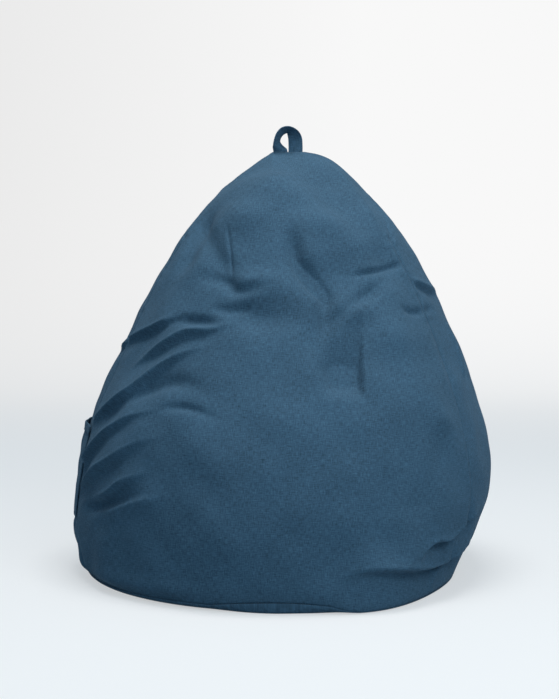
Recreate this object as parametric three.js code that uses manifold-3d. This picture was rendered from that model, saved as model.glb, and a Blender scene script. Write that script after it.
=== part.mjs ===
// Bean bag chair: a pear-shaped cover of sewn panels over a zipped inner bag of beads.
// Millimetres, +Z up. The origin is the middle of the base, on the floor, and the front faces -Y.
import * as THREE from "three";
import { mergeVertices } from "three/addons/utils/BufferGeometryUtils.js";
import Module from "manifold-3d";

const wasm = await Module();
wasm.setup();

// ---- Driving dimensions -------------------------------------------------------------------

// Cloth and seams
const COVER_CLOTH = 2.0; // outer cover, one layer with its seam allowance
const LINER_CLOTH = 1.5; // inner bag
const SEAM_GAP = 0.3; // between two panels that are sewn together
const LAY_GAP = 0.4; // between a cloth and what lies on it
const LINER_SLACK = 7.0; // room between the cover and the inner bag, all round
const LINER_TOP_RINGS = [7.3, 7.7]; // where the inner bag starts to close, and its top seam
const BEAD_TOP = 7.5; // ring that the beads reach up to

// The filled bag
const BAG_HEIGHT = 873; // from the floor to its top seam
const BAG_WIDTH = 872;
const BAG_DEPTH = 877;
// Its rings from the base seam up. Each has the height of its sides and how far its middle rises,
// as shares of the bag's height, how far it reaches to the left and right of the origin, as shares
// of its width, and how far to the front, as a share of its depth.
const RING_SHARES = [
  { height: 0.014, left: 0.471, right: 0.414, front: 0.513, rise: 0 },
  { height: 0.092, left: 0.500, right: 0.456, front: 0.522, rise: 0 },
  { height: 0.218, left: 0.490, right: 0.500, front: 0.520, rise: 0 },
  { height: 0.378, left: 0.453, right: 0.475, front: 0.470, rise: 0 },
  { height: 0.527, left: 0.385, right: 0.424, front: 0.382, rise: 0 },
  { height: 0.676, left: 0.314, right: 0.361, front: 0.297, rise: 0 },
  { height: 0.802, left: 0.234, right: 0.287, front: 0.213, rise: 0.009 },
  { height: 0.876, left: 0.174, right: 0.226, front: 0.112, rise: 0.039 },
  { height: 0.914, left: 0.144, right: 0.193, front: -0.057, rise: 0.086 },
];
const TOP = RING_SHARES.length - 1; // the ring that is the top seam
// The back rises in a straight line from the third ring to the eighth, so that a zip can lie in it.
const BACK_AT_FLOOR = 0.578 * BAG_DEPTH; // where that line would meet the floor
const BACK_LEAN = (0.466 * BAG_DEPTH) / BAG_HEIGHT; // how far it comes forward for each unit of height
const BACK_STRAIGHT = [2, TOP - 1]; // rings whose back is on the line
const BACK_TUCK = 0.148 * BAG_DEPTH; // how far inside that line the base seam lies
const TUCK_ROUNDNESS = 1.5; // how gently the back leaves the line at either end
const RIGHT_FRONT_CORNER = 0.11; // how much further the lowest ring bulges at its right front
const FLAT_SHARE = 0.965; // how much of the base seam's reach lies flat on the floor
const RIDGE_LEFT = 1.05; // 1 is a straight slope from the loop down to the left shoulder
const RIDGE_RIGHT = 1.8; // and down to the right one, where more is a rounder shoulder

// Carry loop: a strap folded over, with both ends sewn into the top seam side by side
const STRAP_WIDTH = 30;
const STRAP_CLOTH = 2.0;
const STRAP_APART = 2.0; // between its two legs at the seam
const LOOP_HEIGHT = 49; // from the seam to its highest edge
const LOOP_MIDDLE = 12; // how far right of the origin the loop stands
// The strap from its right leg over to its left one. Its middle is right and back as shares of the
// distance from the loop's middle to a leg, and up as a share of the loop's height. In degrees, its
// width turns from pointing right, through the front, to pointing left, and tips up by tip.
const LOOP_COURSE = [
  { right: 1, back: 0, up: 0, turn: 0, tip: 0 },
  { right: 1, back: 0.09, up: 0.28, turn: 4, tip: 0 },
  { right: 0.88, back: 0.25, up: 0.57, turn: 18, tip: 5 },
  { right: 0.56, back: 0.25, up: 0.73, turn: 45, tip: 18 },
  { right: 0, back: 0.06, up: 0.83, turn: 80, tip: 28 },
  { right: -0.69, back: -0.06, up: 0.76, turn: 100, tip: 28 },
  { right: -1.25, back: -0.06, up: 0.59, turn: 112, tip: 15 },
  { right: -1.47, back: -0.06, up: 0.39, turn: 122, tip: 5 },
  { right: -1.24, back: -0.08, up: 0.21, turn: 144, tip: 0 },
  { right: -1.07, back: -0.06, up: 0.1, turn: 171, tip: 0 },
  { right: -1, back: 0, up: 0, turn: 180, tip: 0 },
];
const LOOP_LIFT = 0.8; // from the top seam to the ends of its legs
const STRAP_TAIL = 12; // how far the strap goes down inside the top seam

// Side gores, as angles round the bag from the sides
const GORE_TURN = 8; // both gores are turned this far, the right one to the front
const GORE_HALF = 23; // half of a gore's angle above the widest ring
const GORE_FOOT = 7; // how much that grows down to the base seam
const GORE_NARROWS = 5.9; // ring above which a gore narrows to its point
const GORE_POINT = 0.9; // 1 narrows it evenly, and less makes its point longer
const GORE_TIP = 7.5; // ring where the cloth of a gore ends

// Side pocket on the left gore
const POCKET_RINGS = [1.42, 2.86]; // bottom seam and hem
const POCKET_HALF = 17; // half of its angle
const POCKET_TOWARDS_FRONT = 5.5; // how far its middle is from the gore's middle
const POCKET_CLOTH = 2.0;
const POCKET_BULGE = 17; // how far its hem stands out in the middle
const POCKET_FULLNESS = 1.5; // how sharply that grows: 1 is round, and more is flatter at the seams
const POCKET_LAY = 0.6; // between the pocket and the gore where it is sewn down

// Zips
const COVER_ZIP = {
  name: "zip",
  cloth: COVER_CLOTH, // the cloth that it is sewn under
  under: 1.2, // from that cloth to the tape, where the cloth curves
  slot: 16, // between the two edges of the cloth
  tape: 14, // width of one tape
  tapeCloth: 0.8,
  chain: 2.8, // thickness of the teeth
  pitch: 6.0,
  plate: 1.2, // thickness of the slider's plates
  sliderLength: 15,
  pull: 30, // length of the pull
};
const LINER_ZIP = {
  name: "liner_zip",
  cloth: LINER_CLOTH,
  under: 0.4,
  slot: 13,
  tape: 12,
  tapeCloth: 0.7,
  chain: 2.0,
  pitch: 8.0,
  plate: 0.8,
  sliderLength: 12,
  pull: 0, // a slider without a pull, which children can't open
};
const LINER_ZIP_LENGTH = 240;
const ZIP_RUN = 0.3; // between the slider and what it runs on
const TAPE_APART = 4; // between the inner edges of the two tapes
const TOOTH_REACH = 1.1; // how far a tooth goes past the middle of the zip
const TOOTH_GAP = 0.35; // between a tooth and the next one of the other tape
const CORD = 1.6; // thick edge of a tape that carries its teeth
const FLANGE = 0.7; // thickness of the slider's side flanges
const SLIDER_SHOULDER = 6; // half-width of the slider at its upper end
const SLIDER_NOSE = 5; // how far the slider goes past the last tooth
const POST = 2.0; // thickness of the post between the slider's plates
const POST_BELOW = 1.5; // from the post to the slider's upper end
const CROWN_LENGTH = 8;
const CROWN_HEIGHT = 5.2;
const CROWN_WIDTH = 2.2;
const CROWN_LEG = 1.1; // thickness of the crown's metal
const PULL_CLOTH = 1.2; // thickness of the pull's metal
const PULL_ARM = 1.7; // width of the arms beside the eye
const PULL_PLAY = 0.6; // between the eye and the crown
const PULL_LIFT = 2.0; // between the pull and the plate under it
const PULL_WAIST = 2.6; // half-width of the pull below its eye
const STOP_LENGTH = 4;
const STOP_GRIP = 3.2; // how far a stop grips the tape from its edge
const STOP_WEB = 0.7; // from the middle of the zip to a top stop
const ZIP_LAP = 8; // how far the tapes go on past the slot at each end
const ZIP_END = 1.5; // from an end of the slot to the stop there
const ZIP_RINGS = [3.05, 5.95]; // the slot in the cover's back seam
const RING_STEP = 0.05; // between two rows where a seam changes in a step

// How finely the cloth is faceted
const ROWS_PER_RING = 2;
const COLUMN = 10; // degrees
const HALF_PANEL_DEGREES = 67; // about half of the front, and one panel of the back
const BASE_COLUMNS = 32;
const CURL_STEPS = 3;
const POCKET_COLUMNS = 10;
const LOOP_STEPS = 30;

// ---- Materials ----------------------------------------------------------------------------

const cloth = (color, roughness) => new THREE.MeshStandardMaterial({ color, roughness, metalness: 0 });
const COVER = cloth(0x3c5a72, 0.92);
const COVER_SHADE = cloth(0x35516a, 0.92);
const STRAP = cloth(0x46647c, 0.9);
const LINER = cloth(0xe6e3dc, 0.85);
const TAPE = cloth(0x2c4256, 0.85);
const LINER_TAPE = cloth(0xd5d2ca, 0.85);
const BEADS = cloth(0xf4f4f2, 0.7);
const METAL = new THREE.MeshStandardMaterial({ color: 0x4a5058, roughness: 0.4, metalness: 0.8 });

const bag = new THREE.Group();

function add(name, geometry, material, group = bag) {
  const mesh = new THREE.Mesh(geometry, material);
  mesh.name = name;
  group.add(mesh);
}

// ---- Solids -------------------------------------------------------------------------------

const radians = THREE.MathUtils.degToRad;
const clamp01 = (value) => THREE.MathUtils.clamp(value, 0, 1);

function fromTriangles(points, triangles) {
  const geometry = new THREE.BufferGeometry();
  geometry.setAttribute("position", new THREE.Float32BufferAttribute(points.flat(), 3));
  geometry.setIndex(triangles.flat());
  geometry.computeVertexNormals();
  return geometry;
}

function solid(geometry) {
  const bare = geometry.clone();
  bare.deleteAttribute("normal");
  bare.deleteAttribute("uv");
  const merged = mergeVertices(bare, 1e-4);
  return new wasm.Manifold(
    new wasm.Mesh({
      numProp: 3,
      vertProperties: merged.attributes.position.array,
      triVerts: new Uint32Array(merged.index.array),
    }),
  );
}

function fromSolid(made) {
  const { vertProperties, triVerts } = made.getMesh();
  const geometry = new THREE.BufferGeometry();
  geometry.setAttribute("position", new THREE.BufferAttribute(vertProperties, 3));
  geometry.setIndex(new THREE.BufferAttribute(triVerts, 1));
  geometry.computeVertexNormals();
  return geometry;
}

const join = (...pieces) => fromSolid(pieces.map(solid).reduce((all, piece) => all.add(piece)));
const cut = (piece, tool) => fromSolid(solid(piece).subtract(solid(tool)));

// A box from its lowest corner to its highest.
function block(low, high) {
  const size = high.map((value, axis) => value - low[axis]);
  const middle = high.map((value, axis) => (value + low[axis]) / 2);
  return new THREE.BoxGeometry(...size).translate(...middle);
}

// A flat outline in x and z, given its thickness from y = from to y = to.
function slab(shape, from, to, curveSegments = 6) {
  const geometry = new THREE.ExtrudeGeometry(shape, {
    depth: to - from,
    bevelEnabled: false,
    curveSegments,
  });
  return geometry.rotateX(Math.PI / 2).translate(0, to, 0);
}

// The closed solid between two grids of the same size: outside[row][column] and inside alike.
function shell(outside, inside) {
  const rows = outside.length;
  const columns = outside[0].length;
  const points = [...outside.flat(), ...inside.flat()];
  const out = (row, column) => row * columns + column;
  const into = (row, column) => rows * columns + out(row, column);
  const triangles = [];
  const quad = (a, b, c, d) => triangles.push([a, b, c], [a, c, d]);
  for (let row = 0; row + 1 < rows; row++)
    for (let column = 0; column + 1 < columns; column++) {
      const [r, c] = [row + 1, column + 1];
      quad(out(row, column), out(row, c), out(r, c), out(r, column));
      quad(into(row, column), into(r, column), into(r, c), into(row, c));
    }
  for (let row = 0; row + 1 < rows; row++) {
    const last = columns - 1;
    quad(out(row, 0), out(row + 1, 0), into(row + 1, 0), into(row, 0));
    quad(out(row, last), into(row, last), into(row + 1, last), out(row + 1, last));
  }
  for (let column = 0; column + 1 < columns; column++) {
    const last = rows - 1;
    quad(out(0, column), into(0, column), into(0, column + 1), out(0, column + 1));
    quad(out(last, column), out(last, column + 1), into(last, column + 1), into(last, column));
  }
  return fromTriangles(points, triangles);
}

// ---- The filled bag's surface -------------------------------------------------------------

const WHOLE = {
  height: BAG_HEIGHT,
  left: BAG_WIDTH,
  right: BAG_WIDTH,
  front: BAG_DEPTH,
  rise: BAG_HEIGHT,
};
const MEASURES = Object.keys(WHOLE);
const RINGS = RING_SHARES.map((shares) =>
  Object.fromEntries(MEASURES.map((key) => [key, shares[key] * WHOLE[key]])),
);
const RIDGE_HALF = STRAP_CLOTH / 2 + SEAM_GAP + COVER_CLOTH; // half-depth of the top seam
const LOOP_FLAT = STRAP_WIDTH + STRAP_APART; // half of the level stretch under the carry loop

const RIDGE_FRONT = RINGS[TOP].front; // the top seam's middle line
RINGS[TOP].front += RIDGE_HALF;
const backLine = ({ height, rise }) => BACK_AT_FLOOR - BACK_LEAN * (height + rise);
const TOP_TUCK = backLine(RINGS[TOP]) + RIDGE_FRONT - RIDGE_HALF; // the top seam is inside it too

// A Catmull-Rom spline through one measure of the rings.
function ringMeasure(station, key) {
  const index = Math.min(Math.floor(station), TOP - 1);
  const at = (i) => RINGS[THREE.MathUtils.clamp(i, 0, TOP)][key];
  const [p0, p1, p2, p3] = [-1, 0, 1, 2].map((step) => at(index + step));
  const t = station - index;
  const [v1, v2] = [(p2 - p0) / 2, (p3 - p1) / 2];
  return (
    p1 + v1 * t + (3 * (p2 - p1) - 2 * v1 - v2) * t ** 2 + (2 * (p1 - p2) + v1 + v2) * t ** 3
  );
}

// All the measures of a ring.
function ringAt(station) {
  const ring = Object.fromEntries(MEASURES.map((key) => [key, ringMeasure(station, key)]));
  const [low, high] = BACK_STRAIGHT;
  const below = BACK_TUCK * clamp01((low - station) / low) ** TUCK_ROUNDNESS;
  const above = TOP_TUCK * clamp01((station - high) / (TOP - high)) ** TUCK_ROUNDNESS;
  return { ...ring, back: backLine(ring) - below - above };
}

// How much of a ring's rise is left at x: all of it under the loop, none at the two shoulders.
function riseShare(x, left, right) {
  const fromLoop = Math.abs(x - LOOP_MIDDLE) - LOOP_FLAT;
  const reach = (x < LOOP_MIDDLE ? left + LOOP_MIDDLE : right - LOOP_MIDDLE) - LOOP_FLAT;
  return 1 - clamp01(fromLoop / reach) ** (x < LOOP_MIDDLE ? RIDGE_LEFT : RIDGE_RIGHT);
}

const CORNER_PEAK = 4 / 27; // the highest value of sin^4 cos^2

// A point on the bag: station counts rings upwards, and angle goes round from +X to the back.
// inset is how far in from the cover's outside it lies. shut flattens a ring, down to a half-depth
// of `least` where it is 1.
function onBag(station, angle, inset = 0, shut = 0, least = 0) {
  const ring = ringAt(station);
  const across = Math.cos(angle);
  const isCorner = across > 0 && Math.sin(angle) < 0;
  const corner = isCorner ? RIGHT_FRONT_CORNER * clamp01(1 - station / BACK_STRAIGHT[0]) : 0;
  const cornerShape = (Math.sin(angle) ** 4 * across ** 2) / CORNER_PEAK;
  const along = Math.sin(angle) * (1 + corner * cornerShape);
  const middle = (ring.back - ring.front) / 2;
  const depth = THREE.MathUtils.lerp((ring.back + ring.front) / 2 - inset, least, shut);
  const x = across * ((across > 0 ? ring.right : ring.left) - inset);
  return [x, middle + along * depth, ring.height + ring.rise * riseShare(x, ring.left, ring.right)];
}

// The angle that takes a point `length` along the ring from `angle`.
function alongRing(station, angle, length) {
  const step = 1e-3;
  const [a, b] = [onBag(station, angle), onBag(station, angle + step)];
  return (length / Math.hypot(b[0] - a[0], b[1] - a[1])) * step;
}

// Evenly spaced stations from one ring to another, with any others that a seam needs.
function stations(from, to, extra = []) {
  const found = [from, to, ...extra];
  for (let i = Math.ceil(from * ROWS_PER_RING + 0.5); i < to * ROWS_PER_RING - 0.4; i++)
    found.push(i / ROWS_PER_RING);
  return [...new Set(found)].sort((a, b) => a - b);
}

// One panel of cloth: between two seams, each an angle for each station.
function panel(rows, fromAngle, toAngle, columns, inset, thickness, shut = () => 0) {
  const grid = (depth, least) =>
    rows.map((station) => {
      const [from, to] = [fromAngle(station), toAngle(station)];
      return Array.from({ length: columns + 1 }, (_, column) =>
        onBag(station, from + ((to - from) * column) / columns, depth, shut(station), least),
      );
    });
  return shell(grid(inset, thickness + SEAM_GAP), grid(inset + thickness, SEAM_GAP));
}

// ---- Cover --------------------------------------------------------------------------------

const HALF_TURN = Math.PI;
const BACK = Math.PI / 2; // the angle of the middle of the back
const goreShare = (station) =>
  1 - clamp01((station - GORE_NARROWS) / (TOP - GORE_NARROWS)) ** GORE_POINT;
const goreHalf = (station) => GORE_HALF + GORE_FOOT * clamp01(1 - station / BACK_STRAIGHT[0]) ** 2;
const ifGore = (station, angle) => (station <= GORE_TIP ? radians(angle) * goreShare(station) : 0);
// The right gore runs from -goreFar to goreNear, and the left one from there half a turn on.
const goreFar = (station) => ifGore(station, goreHalf(station) + GORE_TURN);
const goreNear = (station) => ifGore(station, goreHalf(station) - GORE_TURN);
const halfSeam = (station) => alongRing(station, 0, SEAM_GAP / 2);

const mainRows = stations(0, TOP, [GORE_TIP, GORE_TIP + RING_STEP, ...ZIP_RINGS]);
const goreRows = mainRows.filter((station) => station <= GORE_TIP);
const coverPanel = (name, rows, from, to, degrees, material) =>
  add(name, panel(rows, from, to, Math.round(degrees / COLUMN), 0, COVER_CLOTH), material);

coverPanel(
  "front_panel",
  mainRows,
  (station) => -HALF_TURN + goreNear(station) + halfSeam(station),
  (station) => -goreFar(station) - halfSeam(station),
  HALF_PANEL_DEGREES * 2,
  COVER,
);
coverPanel(
  "right_side_panel",
  goreRows,
  (station) => -goreFar(station) + halfSeam(station),
  (station) => goreNear(station) - halfSeam(station),
  GORE_HALF * 2,
  COVER_SHADE,
);
coverPanel(
  "left_side_panel",
  goreRows,
  (station) => HALF_TURN - goreFar(station) + halfSeam(station),
  (station) => HALF_TURN + goreNear(station) - halfSeam(station),
  GORE_HALF * 2,
  COVER_SHADE,
);

// The two back panels meet at the middle of the back, and stand apart where the zip lies.
const backEdge = (station) => {
  const [low, high] = ZIP_RINGS;
  const half = station >= low && station <= high ? COVER_ZIP.slot / 2 : SEAM_GAP / 2;
  return alongRing(station, BACK, half);
};
const closedAgain = [ZIP_RINGS[0] - RING_STEP, ZIP_RINGS[1] + RING_STEP];
const backRows = stations(0, TOP, [...mainRows, ...closedAgain]);
coverPanel(
  "back_panel_right",
  backRows,
  (station) => goreNear(station) + halfSeam(station),
  (station) => BACK - backEdge(station),
  HALF_PANEL_DEGREES,
  COVER,
);
coverPanel(
  "back_panel_left",
  backRows,
  (station) => BACK + backEdge(station),
  (station) => HALF_TURN - goreFar(station) - halfSeam(station),
  HALF_PANEL_DEGREES,
  COVER,
);

// The base: flat on the floor, and curling up at its rim to the base seam.
const ringAngles = (count) => Array.from({ length: count }, (_, i) => (i * 2 * Math.PI) / count);

// Heights and shares of the base seam's reach, from the flat part out to the rim.
function baseCurl(floor, rim) {
  return Array.from({ length: CURL_STEPS + 1 }, (_, step) => {
    const turn = (step / CURL_STEPS) * BACK;
    const share = FLAT_SHARE + (1 - FLAT_SHARE) * Math.sin(turn);
    return { share, height: floor + (rim - floor) * (1 - Math.cos(turn)) };
  });
}

// One side of a base: rings of points from the rim in to the flat part, and its middle point.
function baseSide(inset, floor, rim) {
  const rings = baseCurl(floor, rim)
    .reverse()
    .map(({ share, height }) =>
      ringAngles(BASE_COLUMNS).map((angle) => {
        const [x, y] = onBag(0, angle, inset);
        return [x * share, y * share, height];
      }),
    );
  return { rings, middle: [0, 0, floor] };
}

// A closed solid round the Z axis: its lowest point, rings of points in order, and how it closes:
// at a last point, or where the front and back of its last ring meet as a seam.
function turned(first, rings, last) {
  const count = rings[0].length;
  const points = [first, ...rings.flat(), ...(last ? [last] : [])];
  const at = (ring, i) => 1 + ring * count + (i % count);
  const end = rings.length - 1;
  const triangles = [];
  for (let i = 0; i < count; i++) {
    triangles.push([0, at(0, i + 1), at(0, i)]);
    for (let ring = 0; ring < end; ring++) {
      triangles.push([at(ring, i), at(ring, i + 1), at(ring + 1, i + 1)]);
      triangles.push([at(ring, i), at(ring + 1, i + 1), at(ring + 1, i)]);
    }
    if (last) triangles.push([points.length - 1, at(end, i), at(end, i + 1)]);
  }
  for (let i = 0; !last && i < count / 2; i++) {
    const [back, front] = [at(end, i), at(end, count - i)];
    const [nextBack, nextFront] = [at(end, i + 1), at(end, count - i - 1)];
    if (i > 0) triangles.push([front, back, nextBack]);
    if (i + 1 < count / 2) triangles.push([front, nextBack, nextFront]);
  }
  return fromTriangles(points, triangles);
}

const RIM = RINGS[0].height - SEAM_GAP; // the top of a base's rim, at the base seam

function base(inset, floor, thickness) {
  const under = baseSide(inset, floor, RIM);
  const above = baseSide(inset + thickness, floor + thickness, RIM);
  return turned(under.middle, [...under.rings.reverse(), ...above.rings], above.middle);
}

add("base_panel", base(0, 0, COVER_CLOTH), COVER_SHADE);

// ---- Side pocket --------------------------------------------------------------------------

const pocketMiddle = HALF_TURN - radians(GORE_TURN - POCKET_TOWARDS_FRONT);
const pocketRows = stations(...POCKET_RINGS);
// It stands out most in the middle of its hem, and lies on the gore along its other three sides.
function pocketGrid(depth) {
  const [low, high] = POCKET_RINGS;
  return pocketRows.map((station) =>
    Array.from({ length: POCKET_COLUMNS + 1 }, (_, column) => {
      const across = (2 * column) / POCKET_COLUMNS - 1;
      const up = (station - low) / (high - low);
      const out = POCKET_BULGE * ((1 - across ** 2) * Math.sin(up * BACK)) ** POCKET_FULLNESS;
      return onBag(station, pocketMiddle + across * radians(POCKET_HALF), -POCKET_LAY - out - depth);
    }),
  );
}
add("side_pocket", shell(pocketGrid(POCKET_CLOTH), pocketGrid(0)), COVER);

// ---- Carry loop ---------------------------------------------------------------------------

const LOOP_BASE = [
  LOOP_MIDDLE,
  -RIDGE_FRONT,
  RINGS[TOP].height + RINGS[TOP].rise + LOOP_LIFT + STRAP_CLOTH / 2,
];

// The strap as a ribbon along its course.
function strapLoop() {
  const leg = (STRAP_WIDTH + STRAP_APART) / 2;
  const course = new THREE.CatmullRomCurve3(
    LOOP_COURSE.map(
      ({ right, back, up }) => new THREE.Vector3(right * leg, back * leg, up * LOOP_HEIGHT),
    ),
  );
  const facing = new THREE.CatmullRomCurve3(
    LOOP_COURSE.map(({ turn, tip }) =>
      new THREE.Vector3(1, 0, 0)
        .applyAxisAngle(new THREE.Vector3(0, -1, 0), radians(tip))
        .applyAxisAngle(new THREE.Vector3(0, 0, -1), radians(turn)),
    ),
  );
  const sections = Array.from({ length: LOOP_STEPS + 1 }, (_, step) => {
    const middle = course.getPoint(step / LOOP_STEPS);
    middle.z -= STRAP_CLOTH / 2;
    return { middle, width: facing.getPoint(step / LOOP_STEPS).normalize() };
  });
  const points = [];
  sections.forEach(({ middle, width }, index) => {
    const before = sections[Math.max(index - 1, 0)].middle;
    const after = sections[Math.min(index + 1, LOOP_STEPS)].middle;
    const along = after.clone().sub(before).normalize();
    const out = new THREE.Vector3().crossVectors(width, along).normalize();
    for (const [w, o] of [[-1, -1], [1, -1], [1, 1], [-1, 1]])
      points.push(
        middle
          .clone()
          .addScaledVector(width, (w * STRAP_WIDTH) / 2)
          .addScaledVector(out, (o * STRAP_CLOTH) / 2)
          .toArray(),
      );
  });
  const triangles = [[0, 1, 2], [0, 2, 3]];
  const last = LOOP_STEPS * 4;
  triangles.push([last, last + 2, last + 1], [last, last + 3, last + 2]);
  for (let step = 0; step < LOOP_STEPS; step++)
    for (let corner = 0; corner < 4; corner++) {
      const [a, b] = [step * 4 + corner, step * 4 + ((corner + 1) % 4)];
      triangles.push([a, a + 4, b], [b, a + 4, b + 4]);
    }
  return fromTriangles(points, triangles);
}
const loopGroup = new THREE.Group();
loopGroup.position.set(...LOOP_BASE);
bag.add(loopGroup);
add("carry_loop", strapLoop(), STRAP, loopGroup);

// The ends of the strap inside the top seam, between the front and the back panels.
const RIDGE = RINGS[TOP].height + RINGS[TOP].rise;
for (const [side, sign] of [["left", -1], ["right", 1]]) {
  const middle = LOOP_MIDDLE + (sign * (STRAP_WIDTH + STRAP_APART)) / 2;
  const half = STRAP_CLOTH / 2;
  const [x, y] = [STRAP_WIDTH / 2, -RIDGE_FRONT];
  const low = [middle - x, y - half, RIDGE - STRAP_TAIL];
  add(`loop_sewn_end_${side}`, block(low, [middle + x, y + half, RIDGE]), STRAP);
}

// ---- Inner bag and its filling ------------------------------------------------------------

const LINER_INSET = COVER_CLOTH + LINER_SLACK;
const LINER_FLOOR = COVER_CLOTH + LAY_GAP;
const [LINER_CLOSES, LINER_TOP] = LINER_TOP_RINGS;
const shutTop = (top) => (station) =>
  1 - Math.sqrt(1 - clamp01((station - LINER_CLOSES) / (top - LINER_CLOSES)) ** 2);
const lowerRows = stations(0, LINER_CLOSES); // shared by the inner bag and the beads
const linerRows = [...lowerRows, BEAD_TOP, LINER_TOP];
for (const [name, from] of [["liner_front", -HALF_TURN], ["liner_back", 0]])
  add(
    name,
    panel(
      linerRows,
      (station) => from + halfSeam(station),
      (station) => from + HALF_TURN - halfSeam(station),
      BASE_COLUMNS / 2,
      LINER_INSET,
      LINER_CLOTH,
      shutTop(LINER_TOP),
    ),
    LINER,
  );

const slotHalf = LINER_ZIP.slot / 2;
const slotReach = LINER_ZIP_LENGTH / 2;
const linerSlot = block([-slotReach, -slotHalf, 0], [slotReach, slotHalf, RIM]);
add("liner_base", cut(base(LINER_INSET, LINER_FLOOR, LINER_CLOTH), linerSlot), LINER);

// The beads fill the inner bag, apart from the groove that its zip makes in them.
function beadFilling() {
  const inset = LINER_INSET + LINER_CLOTH + LAY_GAP;
  const floor = LINER_FLOOR + LINER_CLOTH + LAY_GAP;
  const shut = shutTop(BEAD_TOP);
  const bottom = baseSide(inset, floor, RINGS[0].height);
  const columns = ringAngles(BASE_COLUMNS);
  const sides = [...lowerRows, BEAD_TOP]
    .slice(1)
    .map((station) =>
      columns.map((angle) => onBag(station, angle, inset, shut(station), SEAM_GAP)),
    );
  const filling = turned(bottom.middle, [...bottom.rings.reverse(), ...sides]);
  const depth = zipDepths(LINER_ZIP);
  const reach = slotReach + ZIP_LAP + LAY_GAP;
  const half = TAPE_APART / 2 + LINER_ZIP.tape + LAY_GAP;
  const grooveTop = LINER_FLOOR - depth.plateIn + LAY_GAP;
  return cut(filling, block([-reach, -half, floor - 1], [reach, half, grooveTop]));
}
add("bead_filling", beadFilling(), BEADS);

// ---- Zips ---------------------------------------------------------------------------------

// Each zip is drawn lying along Z with its outside towards +Y: y = 0 is the outside of the cloth,
// and z = 0 the lower end of the slot.
function zipDepths(zip) {
  const tapeOut = -zip.cloth - zip.under;
  const tapeIn = tapeOut - zip.tapeCloth;
  const middle = (tapeOut + tapeIn) / 2;
  const chainOut = middle + zip.chain / 2;
  const chainIn = middle - zip.chain / 2;
  const [plateUnder, plateOver] = [chainOut + ZIP_RUN, chainIn - ZIP_RUN];
  return {
    tapeOut,
    tapeIn,
    chainOut,
    chainIn,
    plateUnder,
    plateOut: plateUnder + zip.plate,
    plateOver,
    plateIn: plateOver - zip.plate,
  };
}

// Where the row of teeth starts and ends, between the stops, for a slot of this length.
const teethStart = ZIP_END + STOP_LENGTH + ZIP_RUN;
const teethEnd = (length) => length - ZIP_END - STOP_LENGTH - ZIP_RUN - SLIDER_NOSE;

const polygon = (points) => new THREE.Shape(points.map(([x, y]) => new THREE.Vector2(x, y)));

// A tape with its row of teeth, on the side that sign gives. The rows are half a pitch apart.
function tapeWithTeeth(zip, length, sign) {
  const depth = zipDepths(zip);
  const edge = TAPE_APART / 2;
  const tape = polygon([
    [sign * edge, -ZIP_LAP],
    [sign * (edge + zip.tape), -ZIP_LAP],
    [sign * (edge + zip.tape), length + ZIP_LAP],
    [sign * edge, length + ZIP_LAP],
  ]);
  const thick = zip.pitch / 2 - TOOTH_GAP;
  const count = Math.floor((teethEnd(length) - teethStart) / zip.pitch);
  const first = teethStart + (sign > 0 ? 0 : zip.pitch / 2);
  const comb = [[sign * (edge + CORD), first], [sign * -TOOTH_REACH, first]];
  for (let tooth = 0; tooth < count; tooth++) {
    const z = first + tooth * zip.pitch;
    if (tooth > 0) comb.push([sign * edge, z], [sign * -TOOTH_REACH, z]);
    comb.push([sign * -TOOTH_REACH, z + thick], [sign * edge, z + thick]);
  }
  comb.push([sign * (edge + CORD), first + (count - 1) * zip.pitch + thick]);
  return join(
    slab(tape, depth.tapeIn, depth.tapeOut),
    slab(polygon(comb), depth.chainIn, depth.chainOut),
  );
}

// The slider: two plates joined by a post at its upper end, with flanges that hold in the teeth.
function sliderBody(zip, low) {
  const depth = zipDepths(zip);
  const high = low + zip.sliderLength;
  const [waist, shoulder] = [TAPE_APART / 2 + CORD + ZIP_RUN + FLANGE, SLIDER_SHOULDER];
  const plate = new THREE.Shape();
  plate.moveTo(-waist, low).lineTo(waist, low);
  plate.quadraticCurveTo(waist, low + zip.sliderLength / 2, shoulder, high - FLANGE * 2);
  plate.lineTo(shoulder - FLANGE, high);
  plate.quadraticCurveTo(0, high - FLANGE * 2, FLANGE - shoulder, high);
  plate.lineTo(-shoulder, high - FLANGE * 2);
  plate.quadraticCurveTo(-waist, low + zip.sliderLength / 2, -waist, low);
  const pieces = [
    slab(plate, depth.plateUnder, depth.plateOut),
    slab(plate, depth.plateIn, depth.plateOver),
    block(
      [-POST / 2, depth.plateIn, high - POST_BELOW - POST],
      [POST / 2, depth.plateOut, high - POST_BELOW],
    ),
  ];
  for (const sign of [-1, 1]) {
    const x = [sign * waist, sign * (waist - FLANGE)].sort((a, b) => a - b);
    const z = [low, low + zip.sliderLength / 2];
    const into = ZIP_RUN / 2;
    pieces.push(
      block([x[0], depth.tapeOut + ZIP_RUN, z[0]], [x[1], depth.plateUnder + into, z[1]]),
      block([x[0], depth.plateOver - into, z[0]], [x[1], depth.tapeIn - ZIP_RUN, z[1]]),
    );
  }
  return pieces;
}

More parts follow.
